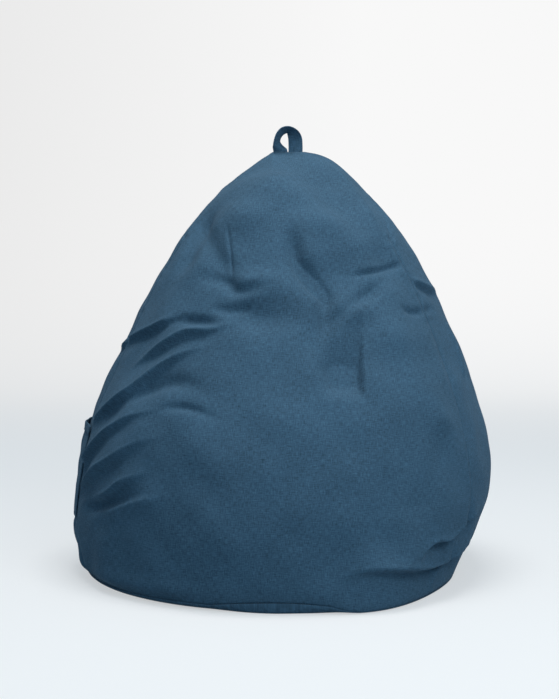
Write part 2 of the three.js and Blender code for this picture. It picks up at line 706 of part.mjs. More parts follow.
// The bridge on the slider that the pull hangs from, drawn as an arch along Z.
function crown(zip, middle) {
  const { plateOut } = zipDepths(zip);
  const [half, high, leg] = [CROWN_LENGTH / 2, CROWN_HEIGHT, CROWN_LEG];
  const arch = new THREE.Shape();
  arch.moveTo(-half, -leg / 2).lineTo(-half, high - leg);
  arch.quadraticCurveTo(-half, high, leg - half, high).lineTo(half - leg, high);
  arch.quadraticCurveTo(half, high, half, high - leg).lineTo(half, -leg / 2);
  arch.lineTo(half - leg, -leg / 2).lineTo(half - leg, high - leg).lineTo(leg - half, high - leg);
  arch.lineTo(leg - half, -leg / 2).lineTo(-half, -leg / 2);
  return new THREE.ExtrudeGeometry(arch, { depth: CROWN_WIDTH, bevelEnabled: false, curveSegments: 4 })
    .rotateY(-Math.PI / 2)
    .translate(CROWN_WIDTH / 2, plateOut, middle);
}

// The pull: a tab with an eye, whose top bar passes under the bridge. Its hinge is the bar.
function pullTab(zip) {
  const eye = CROWN_WIDTH / 2 + PULL_PLAY;
  const [arm, bar] = [eye + PULL_ARM, PULL_CLOTH / 2];
  const eyeEnd = -Math.hypot(CROWN_LENGTH / 2, CROWN_HEIGHT) - PULL_PLAY;
  const tab = new THREE.Shape();
  const [neck, waist] = [eyeEnd - PULL_ARM, eyeEnd - PULL_ARM * 3];
  tab.moveTo(-arm, bar).lineTo(arm, bar).lineTo(arm, neck).lineTo(PULL_WAIST, waist);
  tab.absarc(0, arm - zip.pull, arm, 0, -Math.PI, true);
  tab.lineTo(-PULL_WAIST, waist).lineTo(-arm, neck);
  const corners = [[-eye, -bar], [-eye, eyeEnd], [eye, eyeEnd], [eye, -bar]];
  tab.holes.push(new THREE.Path(corners.map(([x, y]) => new THREE.Vector2(x, y))));
  return slab(tab, -PULL_CLOTH / 2, PULL_CLOTH / 2);
}

// A metal stop crimped round the edge of one tape, or of both.
function stop(zip, low, sides) {
  const { tapeOut, tapeIn } = zipDepths(zip);
  const [web, reach] = [TAPE_APART / 2 - ZIP_RUN, TAPE_APART / 2 + STOP_GRIP];
  const [inner, outer] = [tapeIn - ZIP_RUN, tapeOut + ZIP_RUN];
  const thick = zip.chain / 2 - zip.tapeCloth / 2 - ZIP_RUN;
  const span = [sides.includes(-1) ? -reach : STOP_WEB, sides.includes(1) ? reach : -STOP_WEB];
  let made = block([span[0], inner - thick, low], [span[1], outer + thick, low + STOP_LENGTH]);
  for (const side of sides) {
    const x = [side * web, side * (reach + 1)].sort((a, b) => a - b);
    made = cut(made, block([x[0], inner, low - 1], [x[1], outer, low + STOP_LENGTH + 1]));
  }
  return made;
}

// A whole zip in a slot of the given length, in the group that places it.
function addZip(zip, length, group, tape) {
  const { plateOut } = zipDepths(zip);
  const sliderTop = teethEnd(length) + SLIDER_NOSE;
  const sliderLow = sliderTop - zip.sliderLength;
  bag.add(group);
  for (const [side, sign] of [["left", -1], ["right", 1]]) {
    add(`${zip.name}_tape_${side}`, tapeWithTeeth(zip, length, sign), tape, group);
    const above = stop(zip, sliderTop + ZIP_RUN, [sign]);
    add(`${zip.name}_top_stop_${side}`, above, METAL, group);
  }
  add(`${zip.name}_bottom_stop`, stop(zip, ZIP_END, [-1, 1]), METAL, group);
  const body = sliderBody(zip, sliderLow);
  if (zip.pull > 0) body.push(crown(zip, sliderLow + zip.sliderLength / 2));
  add(`${zip.name}_slider`, join(...body), METAL, group);
  if (zip.pull > 0) {
    const hinge = new THREE.Group();
    const axis = plateOut + PULL_CLOTH / 2 + PULL_LIFT;
    hinge.position.set(0, axis, sliderLow + zip.sliderLength / 2);
    group.add(hinge);
    add(`${zip.name}_pull`, pullTab(zip), METAL, hinge);
  }
}

// A group whose Z runs from one point to another, and whose Y points out of the bag.
function along(from, to, out) {
  const [z, y] = [to.clone().sub(from).normalize(), out.clone().normalize()];
  const group = new THREE.Group();
  const turn = new THREE.Matrix4().makeBasis(new THREE.Vector3().crossVectors(y, z), y, z);
  group.quaternion.setFromRotationMatrix(turn);
  group.position.copy(from);
  return group;
}

const [zipFoot, zipHead] = ZIP_RINGS.map((station) => new THREE.Vector3(...onBag(station, BACK)));
const up = zipHead.clone().sub(zipFoot);
const outOfBack = new THREE.Vector3(0, up.z, -up.y);
addZip(COVER_ZIP, up.length(), along(zipFoot, zipHead, outOfBack), TAPE);

const linerZipEnds = [-slotReach, slotReach].map((x) => new THREE.Vector3(x, 0, LINER_FLOOR));
const down = new THREE.Vector3(0, 0, -1);
addZip(LINER_ZIP, LINER_ZIP_LENGTH, along(...linerZipEnds, down), LINER_TAPE);

export default bag;
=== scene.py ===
"""A pear-shaped bean bag chair in blue denim-like cloth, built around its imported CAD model.

Metres, +Z up, front towards -Y, origin in the middle of the base on the floor.
"""
import math

import bpy
import numpy as np
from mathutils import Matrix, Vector


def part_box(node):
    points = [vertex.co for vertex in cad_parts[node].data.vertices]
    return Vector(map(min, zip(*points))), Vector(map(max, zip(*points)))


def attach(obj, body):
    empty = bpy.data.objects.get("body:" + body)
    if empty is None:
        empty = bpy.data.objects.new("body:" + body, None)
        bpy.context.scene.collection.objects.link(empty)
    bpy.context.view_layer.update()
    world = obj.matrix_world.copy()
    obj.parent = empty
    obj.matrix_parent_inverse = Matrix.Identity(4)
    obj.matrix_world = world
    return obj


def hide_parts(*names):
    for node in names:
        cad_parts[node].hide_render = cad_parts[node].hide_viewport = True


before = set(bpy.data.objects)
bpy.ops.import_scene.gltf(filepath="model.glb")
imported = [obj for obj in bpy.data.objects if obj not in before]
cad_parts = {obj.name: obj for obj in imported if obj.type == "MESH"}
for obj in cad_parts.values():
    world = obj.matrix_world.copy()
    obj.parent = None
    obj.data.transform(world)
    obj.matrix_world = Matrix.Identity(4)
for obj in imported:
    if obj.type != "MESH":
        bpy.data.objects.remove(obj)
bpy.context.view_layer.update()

# ---- Sizes, in metres

BAG_HEIGHT, BAG_WIDTH, BAG_DEPTH = 0.873, 0.872, 0.877
# height, left, right, front and rise of each ring, as shares of the height, width and depth
RING_SHARES = [
    (0.014, 0.471, 0.414, 0.513, 0),
    (0.092, 0.500, 0.456, 0.522, 0),
    (0.218, 0.490, 0.500, 0.520, 0),
    (0.378, 0.453, 0.475, 0.470, 0),
    (0.527, 0.385, 0.424, 0.382, 0),
    (0.676, 0.314, 0.361, 0.297, 0),
    (0.802, 0.234, 0.287, 0.213, 0.009),
    (0.876, 0.174, 0.226, 0.112, 0.039),
    (0.914, 0.144, 0.193, -0.057, 0.086),
]
TOP = len(RING_SHARES) - 1
BACK_AT_FLOOR = 0.578 * BAG_DEPTH
BACK_LEAN = 0.466 * BAG_DEPTH / BAG_HEIGHT
BACK_STRAIGHT = (2, TOP - 1)  # the stations between which the back is straight
BACK_TUCK = 0.148 * BAG_DEPTH
TUCK_ROUNDNESS = 1.5
RIGHT_FRONT_CORNER = 0.11  # how far the base's right front corner stands out, as a share
CORNER_PEAK = 4 / 27  # the greatest value of turned**4 * across**2
RIDGE_LEFT, RIDGE_RIGHT = 1.05, 1.8  # how the top seam falls away on either side of the loop
COVER_CLOTH = 0.002
SEAM_GAP = 0.0003
STRAP_WIDTH, STRAP_CLOTH, STRAP_APART = 0.030, 0.002, 0.002
LOOP_HEIGHT, LOOP_MIDDLE = 0.049, 0.012
GORE_TURN, GORE_HALF, GORE_FOOT = 8, 23, 7  # degrees
GORE_NARROWS, GORE_POINT, GORE_TIP, GORE_TOP = 5.9, 0.9, 7.9, 7.8
POCKET_RINGS, POCKET_HALF, POCKET_TOWARDS_FRONT = (1.42, 2.86), 17, 5.5
ZIP_RINGS, ZIP_SLOT = (3.05, 5.95), 0.016

rng = np.random.default_rng(7)

# ---- The filled bag's surface

WHOLE = np.array([BAG_HEIGHT, BAG_WIDTH, BAG_WIDTH, BAG_DEPTH, BAG_HEIGHT])
RINGS = np.array(RING_SHARES, float) * WHOLE
RIDGE_HALF = STRAP_CLOTH / 2 + SEAM_GAP + COVER_CLOTH
LOOP_FLAT = STRAP_WIDTH + STRAP_APART
RIDGE_FRONT = RINGS[TOP, 3]
RINGS[TOP, 3] += RIDGE_HALF


def clamp01(value):
    return np.clip(value, 0.0, 1.0)


def smooth(value):
    t = clamp01(value)
    return t * t * (3 - 2 * t)


def within(value, low, high, rise, fall):
    """One from low to high, with smooth edges of these widths inside them."""
    return smooth((value - low) / rise) * smooth((high - value) / fall)


def bell(value, power=2):
    """One at zero, and next to nothing a few units away."""
    return np.exp(-(value**power))


def unit(vectors):
    return vectors / np.maximum(np.linalg.norm(vectors, axis=-1, keepdims=True), 1e-12)


def around(count):
    """Angles evenly spaced round a circle."""
    return np.linspace(0, 2 * math.pi, count, endpoint=False)


def lengths(points, axis=0):
    """How far each point lies along its line, for lines that run along this axis."""
    step = np.linalg.norm(np.diff(points, axis=axis), axis=-1)
    return np.cumsum(np.concatenate([np.zeros_like(np.take(step, [0], axis)), step], axis), axis)


def back_line(height, rise):
    return BACK_AT_FLOOR - BACK_LEAN * (height + rise)


TOP_TUCK = back_line(RINGS[TOP, 0], RINGS[TOP, 4]) + RIDGE_FRONT - RIDGE_HALF


def ring_at(station):
    """height, left, right, front, rise and back of the rings at these stations."""
    index = np.clip(np.floor(station).astype(int), 0, TOP - 1)
    p0, p1, p2, p3 = (RINGS[np.clip(index + step, 0, TOP)] for step in (-1, 0, 1, 2))
    t = (station - index)[..., None]
    v1, v2 = (p2 - p0) / 2, (p3 - p1) / 2
    found = p1 + v1 * t + (3 * (p2 - p1) - 2 * v1 - v2) * t**2 + (2 * (p1 - p2) + v1 + v2) * t**3
    height, left, right, front, rise = np.moveaxis(found, -1, 0)
    low, high = BACK_STRAIGHT
    below = BACK_TUCK * clamp01((low - station) / low) ** TUCK_ROUNDNESS
    above = TOP_TUCK * clamp01((station - high) / (TOP - high)) ** TUCK_ROUNDNESS
    return height, left, right, front, rise, back_line(height, rise) - below - above


def rise_share(x, left, right):
    from_loop = np.abs(x - LOOP_MIDDLE) - LOOP_FLAT
    reach = np.where(x < LOOP_MIDDLE, left + LOOP_MIDDLE, right - LOOP_MIDDLE) - LOOP_FLAT
    power = np.where(x < LOOP_MIDDLE, RIDGE_LEFT, RIDGE_RIGHT)
    return 1 - clamp01(from_loop / reach) ** power


def on_bag(station, angle):
    """Points on the bag: station counts rings upwards, angle goes round from +X to the back."""
    station, angle = np.broadcast_arrays(np.asarray(station, float), np.asarray(angle, float))
    height, left, right, front, rise, back = ring_at(station)
    across, turned = np.cos(angle), np.sin(angle)
    is_corner = (across > 0) & (turned < 0)
    corner = np.where(is_corner, RIGHT_FRONT_CORNER * clamp01(1 - station / BACK_STRAIGHT[0]), 0)
    along = turned * (1 + corner * turned**4 * across**2 / CORNER_PEAK)
    x = across * np.where(across > 0, right, left)
    y = (back - front) / 2 + along * (back + front) / 2
    return np.stack([x, y, height + rise * rise_share(x, left, right)], -1)


def along_ring(station, angle, length):
    """The angle that takes a point this far along its ring."""
    step = 1e-4
    a, b = on_bag(station, angle), on_bag(station, angle + step)
    return length / np.linalg.norm((b - a)[..., :2], axis=-1) * step


# Stations close together, and how far up the bag's front each lies.
FINE = np.linspace(0, TOP, 1601)
FINE_UP = lengths(on_bag(FINE, -math.pi / 2))


def even_stations(count, low=0.0, high=TOP):
    """Stations evenly spaced along the bag's front."""
    ends = np.interp([low, high], FINE, FINE_UP)
    return np.interp(np.linspace(*ends, count + 1), FINE_UP, FINE)


def grid_normals(points):
    return unit(np.cross(np.gradient(points, axis=1), np.gradient(points, axis=0)))


# ---- Folds

CORE = np.array([0, 0.02, 0.3])  # a place deep in the bag, from which outward is reckoned
FRONT_POINTS = on_bag(even_stations(220)[:, None], np.linspace(-math.pi, 0, 361)).reshape(-1, 3)


def on_front(x, z):
    """The point of the front at this x and z, or the nearest to it."""
    gap = (FRONT_POINTS[:, 0] - x) ** 2 + (FRONT_POINTS[:, 2] - z) ** 2
    return FRONT_POINTS[np.argmin(gap)]


def with_ends(points):
    """The points, and one more at each end that carries the line straight on."""
    p = np.asarray(points, float)
    return np.concatenate([[2 * p[0] - p[1]], p, [2 * p[-1] - p[-2]]])


def spline(points):
    """Catmull-Rom through the points."""
    p = with_ends(points)
    t = np.linspace(0, len(p) - 3 - 1e-9, 8 * len(points))
    i = t.astype(int)
    t = (t - i)[:, None]
    a, b, c, d = p[i], p[i + 1], p[i + 2], p[i + 3]
    square, cube = 2 * a - 5 * b + 4 * c - d, 3 * b - a - 3 * c + d
    return 0.5 * (2 * b + (c - a) * t + square * t**2 + cube * t**3)


def near_line(points, line):
    """For each point, its distance from the line, how far along the line it is, and on which side:
    below a line that runs from left to right as seen from outside counts as positive."""
    best = np.full(len(points), np.inf)
    where, side = np.zeros((2, len(points)))
    steps = len(line) - 1
    for i in range(steps):
        a, ab = line[i], line[i + 1] - line[i]
        t = clamp01((points - a) @ ab / max(ab @ ab, 1e-12))
        gap = points - a - t[:, None] * ab
        far = np.einsum("ij,ij->i", gap, gap)
        closer = far < best
        best[closer] = far[closer]
        where[closer] = (i + t[closer]) / steps
        side[closer] = np.sign(gap[closer] @ np.cross(ab, a - CORE))
    return np.sqrt(best), where, side


def along(points, line, reach, ends, profile):
    """profile(signed distance) near a line, fading over a share of its length at each end."""
    low, top = line.min(0) - reach, line.max(0) + reach
    inside = np.all((points > low) & (points < top), axis=1)
    found = np.zeros(len(points))
    if inside.any():
        gap, where, side = near_line(points[inside], line)
        found[inside] = within(where, 0, 1, *ends) * profile(gap * side) * (gap <= reach)
    return found


LIP_HALF = 0.0044  # half the width of the thin lip along a fold's crest


def ridge(line, sizes, ends):
    """A fold: a slope `above` wide up to a crest `high`, a steep drop under it to a valley `deep`,
    and `below`, the way back out of the valley. lip is how high the thin lip on the crest is."""
    high, above, deep, steep, below, lip = sizes

    def profile(s):
        up = high * bell(np.maximum(-s, 0) / above, 1.25)
        drop = bell(np.maximum(s, 0) / steep)
        back = deep * bell(np.maximum(s - 1.5 * steep, 0) / below)
        return np.where(s < 0, up, (high + back) * drop - back) + lip * bell(s / LIP_HALF)

    return lambda points: along(points, line, 3.2 * max(above, below), ends, profile)


def valley(line, sizes, ends):
    deep, wide = sizes
    return lambda points: along(points, line, 3 * wide, ends, lambda s: -deep * bell(s / wide))


def dent(x, z, wide, high, depth):
    """A soft swelling, or a hollow if depth is negative."""
    middle, half = on_front(x, z), np.array([wide, max(wide, high), high])
    return lambda points: depth * np.exp(-np.sum(((points - middle) / half) ** 2, axis=-1))


def facet(low, high, depth, soft):
    """A flat place in the front that leans in towards its foot, between two corners as x and z.
    soft is how gently its left, its right and its foot meet the cloth around it."""

    def found(points):
        x, z = points[:, 0], points[:, 2]
        lean = smooth((high[1] - z) / (high[1] - low[1]))
        foot = smooth((z - low[1] + soft[2]) / soft[2])
        return -depth * lean * within(x, low[0], high[0], *soft[:2]) * foot * (points[:, 1] < 0)

    return found


# The folds of the front, in millimetres. Places are x and z, and ends the share of a fold's length
# over which it fades at each end. A ridge's sizes are high, above, deep, steep, below and lip.
RIDGES = [
    # the fan of folds from the left seam
    ([(-335, 460), (-270, 510), (-195, 545)], (7, 18, 5, 6, 20, 2.1), (0.12, 0.3)),
    ([(-310, 425), (-240, 485), (-190, 515), (-140, 522), (-80, 537)],
     (8, 14, 6, 7, 24, 2.1), (0.25, 0.45)),
    ([(-395, 300), (-345, 360), (-300, 395), (-240, 445), (-190, 475), (-130, 490)],
     (9, 22, 7, 7, 34, 2.1), (0.2, 0.5)),
    ([(-415, 215), (-400, 245), (-370, 285), (-335, 320), (-275, 355), (-190, 373)],
     (9, 20, 7, 7, 26, 2.1), (0.2, 0.55)),
    ([(-425, 170), (-395, 210), (-365, 240), (-330, 270), (-275, 305), (-200, 325)],
     (8, 18, 7, 9, 24, 2.1), (0.25, 0.55)),
    ([(-410, 160), (-350, 195), (-310, 225), (-240, 260)], (7, 15, 8, 9, 20, 2.1), (0.3, 0.45)),
    ([(-390, 140), (-330, 170), (-280, 195), (-190, 220)], (6, 7, 2, 16, 20, 2.1), (0.2, 0.5)),
    # along and inside the right seam
    ([(30, 868), (90, 845), (135, 808), (165, 770), (190, 725), (215, 675)],
     (5, 18, 20, 45, 55, 0), (0.35, 0.3)),
    ([(258, 612), (295, 595), (325, 575)], (5, 12, 6, 6, 16, 2.1), (0.2, 0.4)),
    ([(372, 400), (355, 450), (325, 540)], (6, 10, 6, 8, 22, 2.1), (0.3, 0.3)),
    # slumped cloth over the right front corner
    ([(240, 80), (285, 115), (320, 118), (365, 142), (415, 165)],
     (10, 22, 18, 8, 30, 2.2), (0.35, 0.25)),
    ([(90, 70), (160, 82), (220, 77), (280, 69), (335, 69), (390, 90)],
     (14, 30, 16, 11, 30, 2), (0.35, 0.2)),
]
# Sizes are deep and wide.
VALLEYS = [
    # the fan of folds from the left seam
    ([(-235, 530), (-165, 532), (-105, 528)], (13, 12), (0.4, 0.5)),
    ([(-310, 370), (-265, 400), (-220, 418), (-170, 415), (-105, 380)], (12, 18), (0.3, 0.5)),
    ([(-260, 360), (-200, 372), (-160, 370), (-100, 350)], (8, 9), (0.4, 0.5)),
    ([(-410, 145), (-350, 175), (-300, 200), (-230, 220)], (7, 12), (0.3, 0.5)),
    # hollows between the shoulders
    ([(-185, 625), (-115, 612), (-90, 597), (-50, 600), (10, 612)], (12, 14), (0.3, 0.4)),
    ([(-185, 745), (-155, 700), (-125, 655), (-80, 620)], (12, 22), (0.4, 0.3)),
    ([(-150, 558), (-100, 560), (-50, 572)], (8, 12), (0.35, 0.35)),
    ([(10, 735), (20, 690), (30, 650), (60, 610), (85, 580), (78, 530), (70, 480)],
     (19, 18), (0.25, 0.3)),
    # the broad swells and hollows of the upper half
    ([(-135, 765), (-165, 720), (-190, 665), (-210, 610)], (14, 25), (0.35, 0.3)),
    # along and inside the right seam
    ([(125, 622), (190, 634), (248, 643)], (9, 7), (0.4, 0.1)),
    ([(60, 500), (120, 555), (165, 582), (225, 622)], (12, 15), (0.35, 0.3)),
    ([(225, 556), (270, 545), (315, 550)], (7, 9), (0.35, 0.35)),
    # Creases left by packing, as thin lines.
    ([(-108, 720), (-104, 670), (-102, 615)], (3, 3.5), (0.2, 0.2)),
    ([(163, 750), (158, 600), (150, 430)], (2.4, 3.5), (0.2, 0.3)),
]
# x, z, half-width in x, half-width in z, and depth.
DENTS = [
    # the fan of folds from the left seam
    (-300, 330, 160, 140, 5),
    # the broad swells and hollows of the upper half
    (-20, 800, 85, 50, 12), (-70, 735, 60, 35, 16), (85, 725, 60, 35, 20), (-115, 615, 75, 30, -8),
    (85, 620, 75, 35, -12), (205, 650, 50, 35, -10), (-45, 610, 60, 22, 10),
    (-45, 545, 60, 30, -15), (125, 560, 45, 22, 14), (225, 490, 60, 50, 10),
    (260, 390, 110, 60, 10), (200, 520, 50, 60, 4),
    # along and inside the right seam
    (190, 600, 30, 22, 6), (105, 450, 45, 12, -3),
    # slumped cloth over the right front corner
    (310, 340, 30, 20, 5),
    # cloth that hangs over the left front edge of the base
    (-405, 30, 60, 20, 10), (-355, 30, 60, 20, 10), (-285, 30, 70, 20, 8), (-195, 30, 70, 18, 5),
]


def slumped(count):
    """Folds in the sides and back: diagonal ones from the seams, and lower ones nearly level."""
    made = []
    for _ in range(count):
        station, degrees = rng.uniform(0.5, 6.9), rng.uniform(8, 172)
        low = station < 2.4
        span = rng.uniform(14, 34) if low else rng.uniform(10, 26)
        tilt = rng.uniform(-0.35, 0.35) if low else rng.uniform(-1.1, 1.1)
        bow = rng.uniform(-0.25, 0.25)
        t = np.linspace(-0.5, 0.5, 5)
        stations = np.clip(station + tilt * t + bow * (1 - 4 * t * t), 0.25, 7.3)
        line = spline(on_bag(stations, np.radians(degrees - span * t)))
        high = rng.uniform(0.003, 0.008)
        above, below = rng.uniform(0.014, 0.028), rng.uniform(0.014, 0.026)
        steep = rng.uniform(0.006, 0.010)
        made.append(ridge(line, (high, above, min(high, 0.005), steep, below, 0), (0.4, 0.4)))
    return made


def metres(values):
    return np.array(values) / 1000


FOLDS = [
    make(spline([on_front(x, z) for x, z in metres(places)]), metres(sizes), ends)
    for make, rows in ((ridge, RIDGES), (valley, VALLEYS)) for places, sizes, ends in rows
]
FOLDS += [dent(*metres(row)) for row in DENTS]
FOLDS.append(facet((0.055, 0.43), (0.158, 0.545), 0.024, (0.05, 0.010, 0.045)))
SLUMPED = slumped(46)
WAVES = 40
WAVE_WAYS = unit(rng.normal(size=(WAVES, 3)))
WAVE_WAYS *= 2 * math.pi / rng.uniform(0.06, 0.20, WAVES)[:, None]
WAVE_STARTS = rng.uniform(0, 2 * math.pi, WAVES)


def lumps(points, by=1.0):
    """The slight unevenness of cloth over beads, `by` times as close together as on the cover."""
    waves = np.sin(by * points.reshape(-1, 3) @ WAVE_WAYS.T + WAVE_STARTS)
    return waves.sum(axis=1).reshape(points.shape[:-1]) * 0.0022 / math.sqrt(WAVES)


def folds_at(grid):
    """How far the cloth stands out from the smooth bag at a grid of points."""
    points = grid.reshape(-1, 3)
    found = lumps(points)
    for fold in FOLDS:
        found += fold(points)
    behind = smooth((points[:, 1] - 0.03) / 0.10)  # the slumped folds are only there
    for fold in SLUMPED:
        found += fold(points) * behind
    return found.reshape(grid.shape[:-1])


# ---- Meshes


def new_object(name, vertices, faces, material, uv=None):
    mesh = bpy.data.meshes.new(name)
    mesh.from_pydata([tuple(v) for v in np.asarray(vertices)], [], faces)
    mesh.update()
    mesh.polygons.foreach_set("use_smooth", np.ones(len(mesh.polygons), bool))
    if uv is not None:
        layer = mesh.uv_layers.new(name="Weave")
        corner = np.zeros(len(mesh.loops), np.int32)
        mesh.loops.foreach_get("vertex_index", corner)
        layer.data.foreach_set("uv", np.asarray(uv, np.float32)[corner].ravel())
    mesh.materials.append(material)
    made = bpy.data.objects.new(name, mesh)
    bpy.context.scene.collection.objects.link(made)
    return made


def piece(name, vertices, faces, material, uv=None, node=None, body="root"):
    """A piece that rides on a body, in the place of a CAD node."""
    made = new_object(name, vertices, faces, material, uv)
    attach(made, body)
    if node:
        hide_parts(node)
    return made


def band(rows, count, first=0, order=(0, 1, 2, 3)):
    """Quads between closed rows of points. order picks each quad's corners from a point, the next
    one round, the one above that, and the one above the first."""
    a = first + np.arange((rows - 1) * count).reshape(-1, count)
    b = np.roll(a, -1, axis=1)
    corners = (a, b, b + count, a + count)
    return np.stack([corners[i] for i in order], -1).reshape(-1, 4).tolist()


def fan(centre, first, count, way=1):
    """Triangles from one point to a closed ring of points."""
    ring = [first + i % count for i in range(count + 1)][::way]
    return [[centre, a, b] for a, b in zip(ring, ring[1:])]


def cloth_map(across, up):
    """The cloth's own map, in metres from its middle column."""
    return np.stack([across - across[:, [across.shape[1] // 2]], up], -1)


INNER_STEP = 4  # one inner row or column for each four outer ones


def cloth_piece(name, outer, normals, thickness, uv, material, slot, node):
    """A closed piece of cloth: a fine outside, and a coarser inside joined to it along the edges.
    outer's row and column counts are each a multiple of INNER_STEP plus one."""
    rows, columns = outer.shape[:2]
    k = INNER_STEP
    number = np.arange(rows * columns).reshape(rows, columns)
    corners = [number[:-1, :-1], number[:-1, 1:], number[1:, 1:], number[1:, :-1]]
    faces = np.stack(corners, -1).reshape(-1, 4).tolist()
    # the inside keeps every kth point, and all of those along the edges
    keep = np.zeros((rows, columns), bool)
    keep[::k, ::k] = keep[0] = keep[-1] = keep[:, 0] = keep[:, -1] = True
    into = np.full((rows, columns), -1)
    into[keep] = rows * columns + np.arange(keep.sum())
    # once round a coarse cell
    ways = ((0, 0, 0, 1), (0, k, 1, 0), (k, k, 0, -1), (k, 0, -1, 0))
    edge = [(r + up * i, c + on * i) for r, c, up, on in ways for i in range(k)]
    for r in range(0, rows - 1, k):
        for c in range(0, columns - 1, k):
            loop = [int(into[r + i, c + j]) for i, j in edge]
            faces.append([corner for corner in loop[::-1] if corner >= 0])
    walls = (
        (number[0], into[0]), (number[-1, ::-1], into[-1, ::-1]),
        (number[::-1, 0], into[::-1, 0]), (number[:, -1], into[:, -1]),
    )
    for a, b in walls:
        faces += np.stack([a[:-1], b[:-1], b[1:], a[1:]], -1).tolist()
    thickness = np.broadcast_to(thickness, (rows, columns))
    inner = (outer - normals * thickness[..., None])[keep]
    vertices = np.concatenate([outer.reshape(-1, 3), inner])
    uv = np.concatenate([uv.reshape(-1, 2), uv[keep]])
    return piece(name, vertices, faces, material, uv, node)


def low_around(field, k=INNER_STEP):
    """The lowest value of a field near each of its points, over two coarse cells each way."""
    rows, columns = field.shape
    r, c = (rows - 1) // k, (columns - 1) // k
    cells = field[: r * k, : c * k].reshape(r, k, c, k).min(axis=(1, 3))
    cells = np.pad(cells, 1, mode="edge")
    least = np.min([cells[i : i + r, j : j + c] for i in range(3) for j in range(3)], axis=0)
    least = np.pad(least, ((0, 1), (0, 1)), mode="edge")
    return np.repeat(np.repeat(least, k, 0), k, 1)[:rows, :columns]


# ---- Materials


class Shader:
    """The nodes of a material or a world. An input is a value, or the socket that feeds it."""

    def __init__(self, owner):
        owner.use_nodes = True
        self.owner, self.tree = owner, owner.node_tree
        self.tree.nodes.clear()

    def node(self, kind, inputs=None, **settings):
        made = self.tree.nodes.new("ShaderNode" + kind)
        for key, value in settings.items():
            setattr(made, key, value)
        for key, value in (inputs or {}).items():
            if isinstance(value, bpy.types.NodeSocket):
                self.tree.links.new(value, made.inputs[key])
            else:
                made.inputs[key].default_value = value
        return made

    def add(self, kind, inputs=None, output=0, **settings):
        """An output of a new node."""
        return self.node(kind, inputs, **settings).outputs[output]

    def math(self, operation, *values):
        return self.add("Math", dict(enumerate(values)), operation=operation)

    def mix(self, share, first, second):
        return self.add("MixShader", {0: share, 1: first, 2: second})

    def place(self):
        return self.add("TexCoord", output="Object")

    def axis(self, vector, index):
        return self.add("SeparateXYZ", {"Vector": vector}, index)

    def noise(self, vector, scale, detail=2, roughness=0.5):
        return self.add(
            "TexNoise", {"Vector": vector, "Scale": scale, "Detail": detail, "Roughness": roughness}
        )

    def stretched(self, vector, x, y, z=1):
        """Noise that is finer along some axes than along others."""
        return self.noise(self.add("Mapping", {"Vector": vector, "Scale": (x, y, z)}), 1, 2, 0.6)

    def between(self, value, start=(0, 1), end=(0, 1), **settings):
        """A value brought from one range to another."""
        ends = {"From Min": start[0], "From Max": start[1], "To Min": end[0], "To Max": end[1]}
        return self.add("MapRange", {"Value": value, **ends}, **settings)

    def ramp(self, value, *stops):
        made = self.node("ValToRGB", {0: value})
        elements = made.color_ramp.elements
        while len(elements) > 1:
            elements.remove(elements[-1])
        elements[0].position, elements[0].color = stops[0][0], (*stops[0][1], 1)
        for place, color in stops[1:]:
            elements.new(place).color = (*color, 1)
        return made.outputs[0]

    def bump(self, height, strength, distance):
        return self.add("Bump", {"Height": height, "Strength": strength, "Distance": distance})

    def show(self, surface, kind="Material"):
        """The material or world, with this as its surface."""
        self.node("Output" + kind, {0: surface})
        return self.owner

    def finish(self, color, roughness, normal, **others):
        """The material as a Principled surface. Other sockets are named with _ for each space."""
        inputs = {name.replace("_", " "): value for name, value in others.items()}
        inputs.update({"Base Color": color, "Roughness": roughness, "Normal": normal})
        return self.show(self.add("BsdfPrincipled", inputs))


def linear(red, green, blue):
    """Linear colour from 0-255 sRGB."""
    return tuple(
        v / 12.92 if v <= 0.04045 else ((v + 0.055) / 1.055) ** 2.4
        for v in (red / 255, green / 255, blue / 255)
    )


def scaled(color, by):
    return tuple(min(c * by, 1) for c in color)


def denim(name, color, weave=0.0011, mapped=True, contrast=1.0):
    """Woven cloth of two-tone yarn with slubs. A mapped cloth has its own map in metres, and any
    other lies in the object's x and z."""
    s = Shader(bpy.data.materials.new(name))
    place = s.place()
    if mapped:
        cloth = s.add("UVMap", uv_map="Weave")
    else:
        cloth = s.add("Mapping", {"Vector": place, "Rotation": (math.pi / 2, 0, 0)})
    # long thin slubs along both sets of yarn
    yarn = s.math("ADD", s.stretched(cloth, 660, 84), s.stretched(cloth, 80, 640))
    yarn = s.math("MULTIPLY", yarn, 0.36)
    yarn = s.math("MULTIPLY_ADD", s.noise(cloth, 900, 1), 0.20, yarn)
    yarn = s.math("MULTIPLY_ADD", s.noise(place, 9, 3, 0.55), 0.10, yarn)
    dark, light = scaled(color, 1 - 0.5 * contrast), scaled(color, 1 + 0.6 * contrast)
    # plain weave: yarns over and under each other
    turn = 2 * math.pi / weave
    over = [s.math("SINE", s.math("MULTIPLY", s.axis(cloth, i), turn)) for i in (0, 1)]
    relief = s.math("MULTIPLY_ADD", s.math("MULTIPLY", *over), 0.5, yarn)
    return s.finish(
        s.ramp(yarn, (0.36, dark), (0.50, color), (0.65, light)),
        s.between(yarn, (0.35, 0.7), (0.95, 0.82)),
        s.bump(relief, 0.35, 0.0006),
        Sheen_Weight=0.07, Sheen_Tint=(0.55, 0.80, 1.0, 1.0), Sheen_Roughness=0.5,
        Specular_IOR_Level=0.18,
    )


